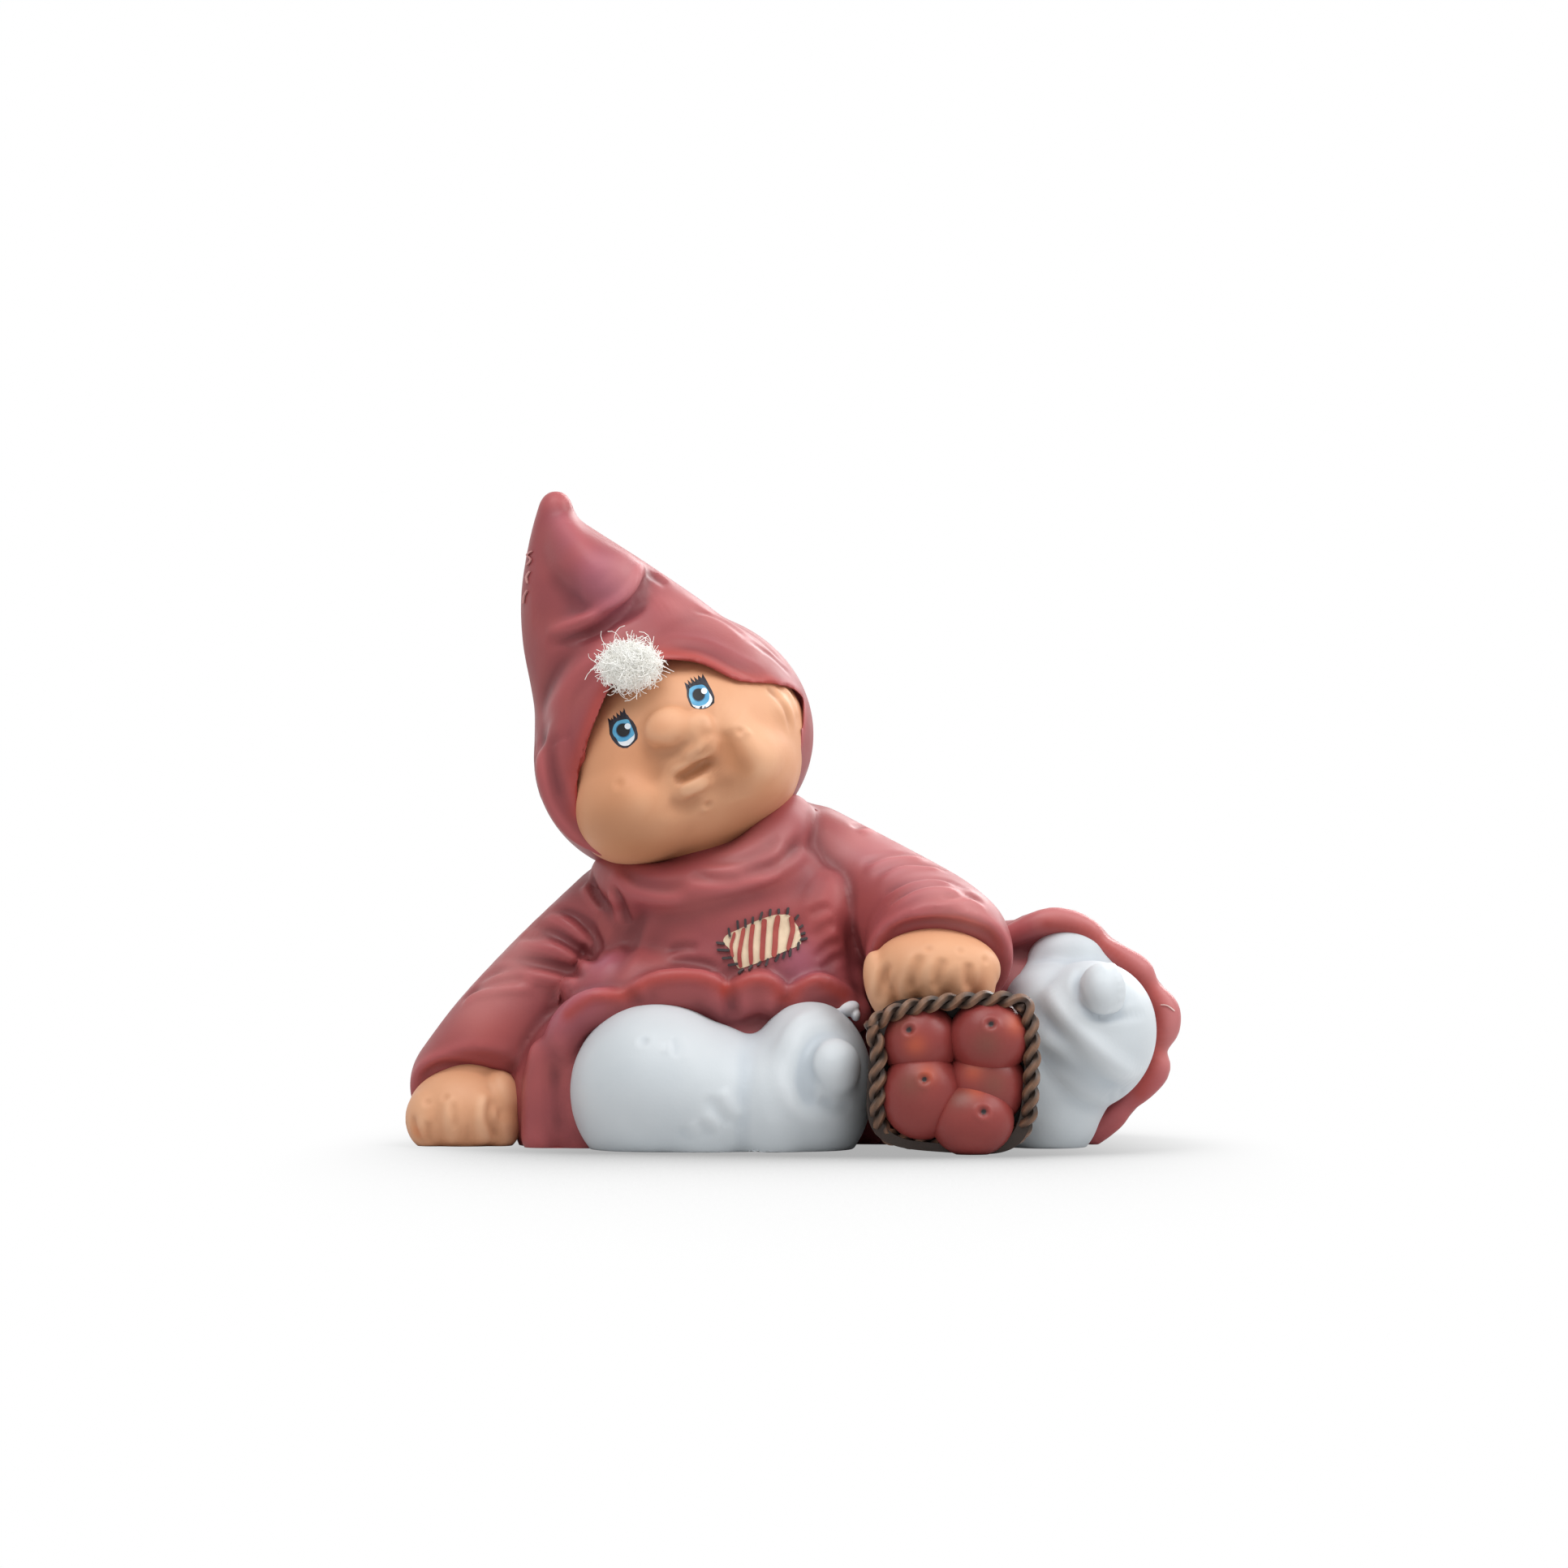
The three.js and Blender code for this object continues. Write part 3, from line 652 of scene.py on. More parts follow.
opening_in_front, opening_depth = 30, 40
opening = edited(
    plate("opening", face_opening),
    (bpy.ops.transform.translate, dict(value=(0, -opening_in_front * mm, 0))),
    (bpy.ops.mesh.extrude_region_move, dict(TRANSFORM_OT_translate={"value": (0, opening_depth * mm, 0)})),
    turn_faces_out,
)
apply_modifier(hood, "BOOLEAN", operation="DIFFERENCE", object=opening, solver="EXACT")
bpy.data.objects.remove(opening)
hood = pressed("hood", [hood], 0.45, 6)
hood_strokes = [
    ("fold", 1.3, 1.2, [
        (798, 690), (792, 712), (782, 732), (764, 750), (740, 765), (712, 776), (672, 786),
    ]),
    ("groove", 1.0, 0.4, [(792, 704), (782, 732), (762, 751), (736, 767)]),
    ("ridge", 2.4, 0.5, [(690, 632), (706, 660), (724, 690), (742, 712)]),
    ("groove", 2.6, 0.25, [(655, 738), (690, 730), (718, 724)]),
    ("groove", 2.2, 0.25, [(656, 764), (690, 756), (722, 746)]),
    ("fold", 2.2, 0.6, [(668, 890), (680, 856), (700, 824), (730, 797), (764, 776)]),
    ("fold", 1.6, 0.5, [(664, 900), (669, 944), (680, 986), (704, 1024), (728, 1048)]),
    ("groove", 1.2, 0.3, [(680, 892), (680, 944), (694, 990)]),
    ("groove", 0.9, 0.3, [(661, 913), (659, 954), (668, 985)]),
    ("groove", 1.1, 0.4, [(802, 704), (812, 714), (822, 722)]),
    ("ridge", 3.2, 0.5, [(790, 752), (840, 745), (890, 770), (940, 805)]),
    ("groove", 1.4, 0.4, [(818, 796), (865, 800), (910, 822), (945, 838)]),
    ("groove", 0.7, 0.25, [(900, 768), (935, 788), (968, 820)]),
    ("groove", 0.7, 0.25, [(920, 790), (950, 808), (975, 832)]),
    ("groove", 0.7, 0.25, [(850, 752), (890, 768), (920, 790)]),
    ("fold", 2.0, 0.6, [(-40, 18, 84), (-30, 25, 79), (-16, 28, 75)]),
    ("fold", 2.0, 0.5, [(-38, 22, 72), (-26, 28, 67), (-10, 28, 65)]),
]
work(hood, hood_strokes)
shade_masks(hood)
spray(hood, "violet", [
    (5, 0.6, [(742, 708), (756, 722)]),
    (2.4, 0.25, [(690, 640), (700, 665)]),
])
# Painted highlights on the lit side of the bulge and along the brim.
spray(hood, "painted_highlight", [
    (4, 0.4, [(768, 705), (775, 715)]),
    (3, 0.15, [(830, 735), (880, 765), (925, 795)]),
])
spray(hood, "warm", [
    (1.6, 0.7, [(800, 806), (850, 808), (905, 830), (950, 840)]),
    (1.6, 0.7, [(745, 850), (725, 895), (712, 945), (712, 1000)]),
])
# The cloth's third and fourth colours are painted shade for the hollows and a painted highlight for the
# ridges, and its pale pink tint is a painted highlight.
cloth_tones = dict(
    base=(154, 76, 76), other=(146, 70, 76), hollow_shade=(98, 42, 46), crest_highlight=(192, 100, 102),
    sprays={"violet": (164, 98, 120), "painted_highlight": (208, 140, 138), "warm": (168, 62, 52)},
)
red_paint = airbrushed("red_cloth_paint", rough=0.42, **cloth_tones)
finished(hood, ["hood"], red_paint)
mark_lines = [
    [(657, 679), (651, 684), (655, 690), (650, 697)], [(654, 704), (650, 711), (651, 719)],
    [(651, 727), (647, 735), (646, 744)],
]
hood_surface = surface_of(hood)
marks = [brush_line(hood_surface, points, 1.6, 0.12) for points in mark_lines]
finished(
    joined("hood_marks", marks), [],
    hand_paint("wax_mark", (206, 150, 146), (190, 130, 128), 0.5),
)


# Tunic, sleeves and skirt: one cast garment, parted where its moulds meet at the shoulders and
# the waist. It is modelled in one body, so that its folds run on, and then parted.
right_arm_line = [
    (-30, 7.6, 39, 8.4), (-39.5, 6.3, 28.8, 9.3), (-48.7, 5.1, 18, 10), (-54.4, 4, 9.8, 10.4),
]
right_arm = pressed("right_arm", rolled(right_arm_line), 0.6, 6)
sliced(right_arm, (-54.1, -1.6, 12.2), (-0.1, -0.8, -0.6))
left_arm_line = [
    (3, 8.1, 48.2, 9), (12.8, 3.6, 42.5, 9.6), (21.7, -6, 36.5, 10.8), (24.4, -14, 32.6, 12.4),
]
left_arm = pressed("left_arm", rolled(left_arm_line), 0.6, 6)
sliced(left_arm, (23.5, -20.4, 37.1), (0, -0.8, -0.6))
collar_line = [
    (-30.5, 3, 45.6, 4), (-27, -4, 43.8, 4.4), (-18, -7.4, 42.6, 5.2), (-9, -7.4, 45.6, 5.2),
    (-3, -3, 51.5, 4.8), (-1, 3, 55, 4.5),
]
body = pressed("body", [
    ball((-9.5, 6.6, 29), (44, 34, 42)),
    ball((-8, -1.5, 30), (42, 25, 24)),
    ball((-10, -0.5, 37), (38, 24, 20), 8),
    ball((-13, 7.6, 41.6), (40, 30, 30), 12),
    ball((-12, 1, 42), (38, 26, 20), 12),
    ball((-27.9, 8.1, 40.6), (20, 20, 17), 45),
    ball((1.4, 8.7, 48.8), (25, 20, 17), -30),
    *rolled(collar_line),
    ball((4, -3, 35), (13, 16, 24), -12),
    ball((-27.5, 3, 33), (16, 15, 22), 20),
    ball((0, 16.6, 13), (70, 40, 36)),
    ball((39, 13.6, 17.6), (46, 38, 40)),
    ball((17.4, 15, 13.9), (64, 41, 40)),
    ball((-34, 1, 7.9), (28, 30, 34)),
    ball((-8, -1.4, 15.5), (42, 26, 24)),
    ball((-20, -4.8, 25.8), (38, 20, 17)),
    ball((2, -3.8, 26), (22, 19, 15)),
    ball((34, 5, 29.6), (12, 12, 13)),
], 0.6, 30)
front_hem = [
    (-37.6, -8.5, 2, 2.2), (-38.9, -9.8, 10, 2.2), (-38.9, -11.6, 17.2, 1.9), (-38, -12.6, 21.4, 1.7),
    (-36, -13.4, 24.3, 1.7), (-32.6, -14, 25.6, 1.6), (-28.4, -13.8, 25.4, 1.4), (-25.5, -14.5, 27.2, 1.5),
    (-22, -15.2, 28.6, 1.6), (-17.6, -15.4, 28.9, 1.6), (-13.8, -15, 28.2, 1.5), (-11, -13.8, 26.2, 1.4),
    (-8.6, -14.7, 27.6, 1.5), (-5.4, -15, 28.4, 1.6), (-2.9, -14.2, 27.2, 1.5), (-1.4, -13.2, 25.6, 1.4),
    (0.9, -13.6, 26.8, 1.4), (4.1, -13.6, 28.2, 1.5), (7.2, -12.6, 27, 1.5), (9.6, -11.2, 24.8, 1.4),
]
back_hem = [
    (36, 0, 35, 1.9), (41.8, -1.2, 37.5, 2.3), (45.9, -1, 37.6, 2.3), (49.6, -0.6, 36, 2.2),
    (51.5, -0.4, 33.8, 1.9), (55.4, 0, 31.2, 2.3), (58.3, 0.2, 29.2, 2.4), (59.9, 0.6, 26.4, 1.9),
    (62.6, 0.8, 22.8, 2.5), (62.6, 1, 19.4, 2.5), (61, 1.2, 16.2, 1.9), (61, 1.2, 12.8, 2.6),
    (58.8, 1.2, 10, 2.6), (56, 1.2, 7, 1.9), (53.8, 1.2, 4.4, 2.2), (50.4, 1.2, 1.8, 2.2),
]
hem_middle_x, hem_middle_z = 42, 18
lining_share, lining_radius = 0.92, 3.6
front_lining = [(x, y + 2.6, z - 2.4, lining_radius) for x, y, z, _ in front_hem[1:]]
back_lining = [
    (
        hem_middle_x + (x - hem_middle_x) * lining_share, y + 3.8,
        hem_middle_z + (z - hem_middle_z) * lining_share, lining_radius,
    )
    for x, y, z, _ in back_hem
]
hem_side = [(-41.2, -8.4, 15.2, 3.4), (-41.8, -8.2, 9, 3.8), (-41.8, -8, 2, 4)]
garment_form = [
    body,
    right_arm,
    left_arm,
    *rolled(front_hem),
    *rolled(front_lining, 3),
    *rolled(hem_side),
    *rolled(back_hem),
    *rolled(back_lining, 3),
]
garment = pressed("garment", garment_form, 0.5, 14)
right_arm_wrinkles = [
    [(646, 1143), (684, 1156), (712, 1174), (732, 1190)],
    [(639, 1157), (684, 1165), (724, 1186)],
    [(617, 1184), (659, 1190), (697, 1200), (716, 1211)],
    [(585, 1216), (614, 1200), (646, 1198), (684, 1203), (703, 1213)],
    [(569, 1236), (588, 1222), (623, 1213), (659, 1211)],
    [(678, 1123), (703, 1133), (729, 1159), (735, 1178)],
    [(725, 1085), (732, 1104), (745, 1123)],
    [(751, 1095), (764, 1117), (770, 1140)],
]
left_arm_wrinkles = [
    [(1063, 1070), (1092, 1057), (1129, 1055), (1159, 1064)],
    [(1078, 1085), (1107, 1068), (1144, 1068), (1166, 1074)],
    [(1085, 1107), (1122, 1088), (1159, 1085), (1196, 1099)],
    [(1092, 1119), (1129, 1097), (1166, 1093), (1207, 1111)],
    [(1055, 1022), (1075, 1020), (1092, 1026)],
    [(1160, 1110), (1190, 1107), (1214, 1116)],
]
body_wrinkles = [
    [(821, 1172), (840, 1167), (862, 1168)],
    [(822, 1186), (850, 1184), (884, 1190)],
    [(1024, 1117), (1010, 1120), (996, 1128)],
    [(1030, 1137), (1016, 1143), (1000, 1156)],
    [(1038, 1160), (1020, 1166), (1004, 1182)],
    [(1042, 1176), (1024, 1184), (1012, 1196)],
]
neck_folds = [
    [(757, 1069), (770, 1084), (786, 1095), (818, 1101), (846, 1097)],
    [(846, 1082), (880, 1088), (920, 1084), (962, 1070)],
    [(862, 1067), (910, 1066), (944, 1054), (966, 1036)],
    [(905, 1080), (945, 1074), (975, 1056), (990, 1040)],
]
back_folds = [
    [(-24, 30, 20), (-8, 34, 26), (10, 34, 27), (24, 32, 24)],
    [(-30, 24, 12), (-22, 32, 8), (-8, 36, 6)],
    [(30, 30, 26), (40, 31, 22), (48, 29, 14)],
    [(34, 28, 30), (44, 26, 28), (53, 24, 22)],
    [(-22, 18, 46), (-12, 21, 47), (-2, 20, 49)],
    [(-26, 20, 38), (-14, 24, 36), (0, 24, 37)],
]
garment_strokes = [
    ("groove", 1.4, 0.35, [(796, 1114), (786, 1139), (777, 1165), (764, 1186), (745, 1216)]),
    ("groove", 1.6, 0.35, [(1030, 1121), (1046, 1158), (1052, 1202), (1063, 1238)]),
    *[("fold", 1.05, 0.7, line) for line in right_arm_wrinkles],
    *[("fold", 1.05, 0.42, line) for line in left_arm_wrinkles],
    *[("groove", 0.8, 0.3, line) for line in body_wrinkles],
    *[("fold", 1.2, 0.4, line) for line in neck_folds],
    *[("fold", 1.8, 0.6, line) for line in back_folds],
    ("groove", 1.2, 0.5, [(772, 1222), (779, 1230), (784, 1240)]),
    ("groove", 1.2, 0.5, [(896, 1218), (902, 1235), (904, 1255)]),
    ("groove", 1.2, 0.5, [(966, 1226), (966, 1238), (962, 1250)]),
    ("groove", 1.3, 0.3, [(686, 1288), (684, 1320), (688, 1370), (694, 1400)]),
    ("groove", 0.8, 0.4, [
        (1085, 1165), (1108, 1142), (1142, 1134), (1182, 1138), (1216, 1150), (1234, 1172),
    ]),
    ("groove", 0.8, 0.4, [(505, 1350), (520, 1326), (545, 1312), (585, 1314), (620, 1326), (638, 1342)]),
]
work(garment, garment_strokes, soft=3)
stand_on_floor(garment)
shade_masks(garment)
spray(garment, "violet", [
    (4, 0.6, [(985, 1180)]),
    (4, 0.4, [(684, 1248), (720, 1225)]),
    (3, 0.5, [(745, 1184)]),
    (4, 0.3, [(1080, 1050), (1150, 1090)]),
])
# Painted highlights on the tops of the sleeves, by the collar and on the back of the skirt, where the
# lamps fall.
spray(garment, "painted_highlight", [
    (5, 0.55, [(592, 1240), (612, 1212)]),
    (4, 0.4, [(640, 1165)]),
    (4.5, 0.5, [(1060, 1035), (1110, 1062), (1160, 1095), (1200, 1125)]),
    (3, 0.5, [(1292, 1130), (1340, 1138), (1372, 1172), (1412, 1196), (1440, 1245), (1434, 1300)]),
    (4, 0.3, [(905, 1060), (950, 1035)]),
])
spray(garment, "warm", [
    (1.2, 0.7, [(700, 1250), (730, 1230), (770, 1226), (800, 1210), (850, 1203), (890, 1216)]),
    (1.2, 0.7, [(895, 1222), (925, 1208), (950, 1212), (970, 1230), (1000, 1208), (1040, 1225)]),
    (6, 0.35, [(601, 1267)]),
    (6, 0.3, [(1010, 1140)]),
    (1.6, 0.7, [(1292, 1140), (1340, 1150), (1385, 1188), (1420, 1225), (1428, 1280), (1405, 1345)]),
])
# Painted shade in the hollows under the folds of the front hem.
spray(garment, "hollow_shade", [
    (1.6, 0.7, [(706, 1350), (711, 1316), (723, 1288), (740, 1264), (764, 1245), (800, 1230)]),
    (1.3, 0.8, [(860, 1238), (890, 1254), (926, 1266), (950, 1254), (985, 1238), (1030, 1230)]),
])
finished(garment, [], red_paint)
cores = {
    "tunic": [
        (-14, 6.6, 30, 17.5), (-5, 6.6, 30, 17.5), (-16, -1.5, 30, 12.3), (-8, -1.5, 30, 12.3),
        (0, -1.5, 30, 12.3), (-18, 7.6, 41.6, 15), (-8, 7.6, 42, 15), (-27.9, 8.1, 40.6, 8.6),
        (1.4, 8.7, 48.8, 9), (4, -3, 31, 7), (4, -3, 39, 7), (-27.5, 3, 33, 7.8), *collar_line,
    ],
    "right_sleeve": smooth_line(right_arm_line, 4),
    "left_sleeve": smooth_line(left_arm_line, 4),
    "skirt_front": [
        (-34, 1, 7.9, 14.5), (-16, -1.4, 15.5, 12.3), (0, -1.4, 15.5, 12.3), (-28, -4.8, 25.8, 8.4),
        (-20, -4.8, 25.8, 8.8), (-12, -4.8, 25.8, 8.4), (-2, -3.8, 26, 7.8), (5, -3.8, 26, 7.8),
        *front_hem, *front_lining, *hem_side,
    ],
    "skirt_back": [
        (-16, 16.6, 13, 17), (0, 16.6, 13, 18.5), (20, 15, 14, 20), (28, 15, 15, 19.5),
        (37, 13.6, 17.6, 19), (42, 13.6, 17.6, 19), (34, 5, 29.6, 6.2), *back_hem, *back_lining,
    ],
}
seam_rounds = 16  # rounds in which a face joins the piece that most faces round it belong to


def parted(piece, cores):
    """Parts a piece into named ones, each with the faces nearest to its own balls of clay, given by
    middle and radius in mm, and closed where they meet."""
    names = list(cores)
    balls = np.array([core for name in names for core in cores[name]], float) * mm
    places, radii = balls[:, :3], balls[:, 3]
    owner = np.array([index for index, name in enumerate(names) for _ in cores[name]])

    def nearest(spots):
        return np.argmin(np.linalg.norm(spots[:, None] - places[None], axis=2) - radii, axis=1)

    count = len(piece.data.polygons)
    middles = np.empty(3 * count, np.float32)
    piece.data.polygons.foreach_get("center", middles)
    side = owner[nearest(middles.reshape(-1, 3))]
    corners = np.empty(len(piece.data.loops), np.int64)
    piece.data.loops.foreach_get("vertex_index", corners)
    sizes = np.empty(count, np.int64)
    piece.data.polygons.foreach_get("loop_total", sizes)
    starts = np.cumsum(sizes) - sizes
    co, normals = points_of(piece), normals_of(piece)
    for _ in range(seam_rounds):
        votes = np.zeros((len(co), len(names)))
        np.add.at(votes, corners, np.eye(len(names))[np.repeat(side, sizes)])
        side = np.add.reduceat(votes[corners], starts).argmax(axis=1)
    most = np.full(len(co), -1)
    least = np.full(len(co), len(names))
    np.maximum.at(most, corners, np.repeat(side, sizes))
    np.minimum.at(least, corners, np.repeat(side, sizes))
    for vertex in np.nonzero(most != least)[0]:
        # a point of the seam slides along the surface to where the two pieces are equally near
        spot, normal = co[vertex], normals[vertex]
        reach = np.linalg.norm(places - spot, axis=1)
        first = np.where(owner == least[vertex], reach - radii, 1).argmin()
        second = np.where(owner == most[vertex], reach - radii, 1).argmin()
        gap = (reach[second] - radii[second]) - (reach[first] - radii[first])
        way = (spot - places[second]) / reach[second] - (spot - places[first]) / reach[first]
        slide = way - normal * normal.dot(way)
        shift = -slide * gap / max(slide.dot(slide), 1e-3)
        length = np.linalg.norm(shift)
        co[vertex] += shift * min(1, 0.6 * mm / max(length, 1e-9))
    move_points(piece, co)
    for index, name in enumerate(names):
        only(piece)
        bpy.ops.object.duplicate()
        part = bpy.context.object
        part.name = name + "_piece"
        bpy.ops.object.mode_set(mode="EDIT")
        bpy.ops.mesh.select_mode(type="FACE")
        bpy.ops.mesh.select_all(action="DESELECT")
        bpy.ops.object.mode_set(mode="OBJECT")
        part.data.polygons.foreach_set("select", side != index)
        bpy.ops.object.mode_set(mode="EDIT")
        bpy.ops.mesh.delete(type="FACE")
        bpy.ops.mesh.select_mode(type="EDGE")
        bpy.ops.mesh.select_non_manifold(
            extend=False, use_wire=False, use_multi_face=False, use_verts=False,
        )
        bpy.ops.mesh.mark_sharp()
        bpy.ops.mesh.extrude_edges_move()
        bpy.ops.object.mode_set(mode="OBJECT")
        inner = np.zeros(len(part.data.vertices), bool)
        part.data.vertices.foreach_get("select", inner)
        spots, mine = points_of(part), owner == index
        reach = np.linalg.norm(spots[inner][:, None] - places[mine][None], axis=2) - radii[mine]
        spots[inner] = places[mine][reach.argmin(axis=1)]
        move_points(part, spots)
        bpy.ops.object.mode_set(mode="EDIT")
        bpy.ops.mesh.remove_doubles(threshold=0.001 * mm)
        bpy.ops.mesh.select_all(action="SELECT")
        bpy.ops.mesh.delete_loose(use_verts=True, use_edges=True, use_faces=False)
        bpy.ops.mesh.select_all(action="SELECT")
        bpy.ops.mesh.fill_holes(sides=0)
        bpy.ops.mesh.normals_make_consistent(inside=False)
        bpy.ops.object.mode_set(mode="OBJECT")
        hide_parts(name)
    bpy.data.objects.remove(piece)


garment_surface = surface_of(garment)
parted(garment, cores)
crack = brush_line(garment_surface, [(1430, 1238), (1438, 1239), (1447, 1246)], 1.2, 0.06)
finished(
    joined("hem_crack", [crack]), [],
    hand_paint("crack_paint", (228, 196, 190), (214, 176, 170), 0.5),
)


# Hands: cast flesh, each glued into its cuff. The right one leans flat on the floor, and the
# left one lies on the rim of the basket with four short fingers.
right_hand = pressed("right_hand", [
    ball((-55.5, -0.5, 5.5), (19, 18, 15)),
    ball((-49, -1, 7.5), (7.6, 13, 11), 12),
    ball((-60.9, -3, 4.6), (8.8, 11, 11)),
    ball((-57, -5.6, 5), (7, 9, 10)),
    ball((-52.5, -5.6, 5), (7, 9, 10)),
    ball((-54, 4, 10), (16, 16, 12)),
    ball((-49.6, -2, 4), (8, 12, 10)),
], 0.4, 14)
work(right_hand, [
    ("groove", 0.7, 0.4, [(509, 1374), (511, 1391), (521, 1409)]),
    ("groove", 0.7, 0.35, [(528, 1382), (528, 1394), (529, 1408)]),
    ("groove", 0.7, 0.3, [(558, 1356), (560, 1372), (561, 1394)]),
    ("groove", 0.9, 0.45, [(608, 1352), (603, 1368), (604, 1384), (618, 1405)]),
    ("groove", 0.6, 0.25, [(549, 1352)]),
    ("groove", 0.6, 0.25, [(526, 1358)]),
])
stand_on_floor(right_hand)
shade_masks(right_hand)
spray(right_hand, "blush", [(1.2, 0.8, [(515, 1394)])])
finished(right_hand, ["right_hand"], flesh_paint)

left_hand = pressed("left_hand", [
    ball((23.9, -19.5, 30.5), (21.4, 16, 13), -3),
    ball((14.6, -20.1, 27.6), (5.6, 8, 12), 14),
    ball((18.8, -22.8, 29.8), (5, 7, 11)),
    ball((23, -24, 29.8), (5, 7, 11)),
    ball((27.4, -23.5, 29.4), (5, 7, 11)),
    ball((31.3, -21.4, 29), (5, 7, 10.5)),
    ball((23.5, -15, 32), (18, 16, 14)),
], 0.38, 10)
work(left_hand, [
    ("groove", 0.9, 0.4, [(1134, 1176), (1127, 1196), (1121, 1222)]),
    ("groove", 0.9, 0.4, [(1163, 1180), (1157, 1198), (1152, 1222)]),
    ("groove", 0.9, 0.4, [(1194, 1186), (1193, 1202), (1191, 1220)]),
    ("groove", 0.9, 0.4, [(1096, 1186), (1088, 1206), (1082, 1236)]),
    ("groove", 0.6, 0.25, [(1144, 1169)]),
    ("groove", 0.6, 0.25, [(1183, 1171)]),
    ("groove", 0.6, 0.25, [(1214, 1183)]),
])
shade_masks(left_hand)
finished(left_hand, ["left_hand"], flesh_paint)


# Legs and feet in pale leggings: each pair is one modelled body, parted at the ankle. Both feet
# end in a knob at the toe, with the cloth creased round it.
# The leggings' third and fourth colours are painted shade for the hollows and a painted highlight for the
# ridges.
legging_paint = airbrushed(
    "pale_legging_paint", (203, 209, 213), (197, 204, 209), (176, 186, 195), (218, 223, 227), {}, 0.42,
)
right_limb = pressed("right_limb", [
    ball((-22.8, -12, 9.6), (29.6, 33, 30.4)),
    ball((-15.5, -12, 7.6), (27, 33, 28)),
    ball((-3, -12, 7), (21, 32, 26)),
    ball((2.7, -12, 10.4), (21.4, 31, 29.4)),
], 0.6, 50)
right_limb = pressed("right_limb", [
    right_limb,
    ball((6.6, -24, 14.2), (9.4, 11.4, 9.8)),
], 0.45, 20)
work(right_limb, [
    ("groove", 0.8, 0.3, [(793, 1283)]),
    ("ridge", 0.8, 0.2, [(820, 1280), (824, 1290), (822, 1300)]),
    ("groove", 1.0, 0.3, [(828, 1278), (832, 1290), (829, 1302)]),
    ("fold", 1.4, 0.3, [(903, 1384), (892, 1366), (880, 1346)]),
    ("fold", 1.2, 0.25, [(884, 1396), (874, 1388), (862, 1378)]),
    ("fold", 1.2, 0.25, [(858, 1402), (850, 1394), (845, 1386)]),
    ("groove", 1.8, 0.12, [(912, 1290), (916, 1320), (914, 1360), (908, 1395)]),
    ("groove", 1.2, 0.15, [(1006, 1282), (994, 1300), (994, 1320), (1006, 1338)]),
    ("fold", 1.6, 0.5, [(1044, 1262), (1006, 1268), (986, 1294), (981, 1331), (992, 1364), (1022, 1380)]),
    ("fold", 1.6, 0.35, [(1024, 1246), (990, 1261), (970, 1294), (969, 1331), (986, 1370)]),
    ("groove", 1.0, 0.3, [(1010, 1352), (1028, 1366), (1050, 1362)]),
])
stand_on_floor(right_limb)
shade_masks(right_limb)
finished(right_limb, [], legging_paint)
parted(right_limb, {
    "right_leg": [(-22.8, -12, 9.6, 15), (-15.5, -12, 7.6, 14)],
    "right_foot": [(2.7, -12, 10.4, 14), (-3, -12, 7, 13.5)],
})

left_limb = pressed("left_limb", [
    ball((49.3, -7.8, 18.7), (23, 25, 25.6), -20),
    ball((43.5, -5, 23), (17, 18, 16)),
    ball((40.6, -5.4, 11.4), (26, 23, 26), -30),
    ball((42.6, -6, 6.4), (18, 20, 19)),
    ball((47.8, 1.6, 21), (16, 15, 29)),
    ball((46.4, 1.2, 30.4), (14.6, 12, 14)),
    ball((50.6, 2, 28), (10, 12, 12)),
    ball((41.8, -1, 26), (9, 12, 11)),
], 0.5, 16)
left_limb = pressed("left_limb", [
    left_limb,
    ball((51.3, -17.8, 26.8), (7.4, 10, 9)),
], 0.4, 8)
work(left_limb, [
    ("fold", 1.9, 0.75, [(1407, 1334), (1381, 1327), (1340, 1297), (1300, 1256), (1276, 1222)]),
    ("fold", 1.9, 0.5, [(1399, 1344), (1362, 1334), (1325, 1312), (1278, 1284)]),
    ("groove", 0.9, 0.3, [(1332, 1228), (1346, 1248), (1372, 1254), (1412, 1248)]),
    ("groove", 0.9, 0.25, [(1334, 1192), (1327, 1210), (1334, 1230)]),
    ("groove", 0.8, 0.25, [(1366, 1350), (1374, 1366)]),
    ("groove", 0.8, 0.25, [(1380, 1346), (1386, 1358)]),
])
stand_on_floor(left_limb)
shade_masks(left_limb)
finished(left_limb, [], legging_paint)
parted(left_limb, {
    "left_foot": [(49.3, -7.8, 18.7, 12), (43.5, -5, 23, 8.5), (51.3, -17.8, 26.8, 4.2)],
    "left_leg": [
        (40.6, -5.4, 11.4, 11.5), (42.6, -6, 6.4, 9.5), (47.8, 1.6, 21, 8), (46.4, 1.2, 30.4, 6.5),
        (50.6, 2, 28, 5.5), (41.8, -1, 26, 5),
    ],
})


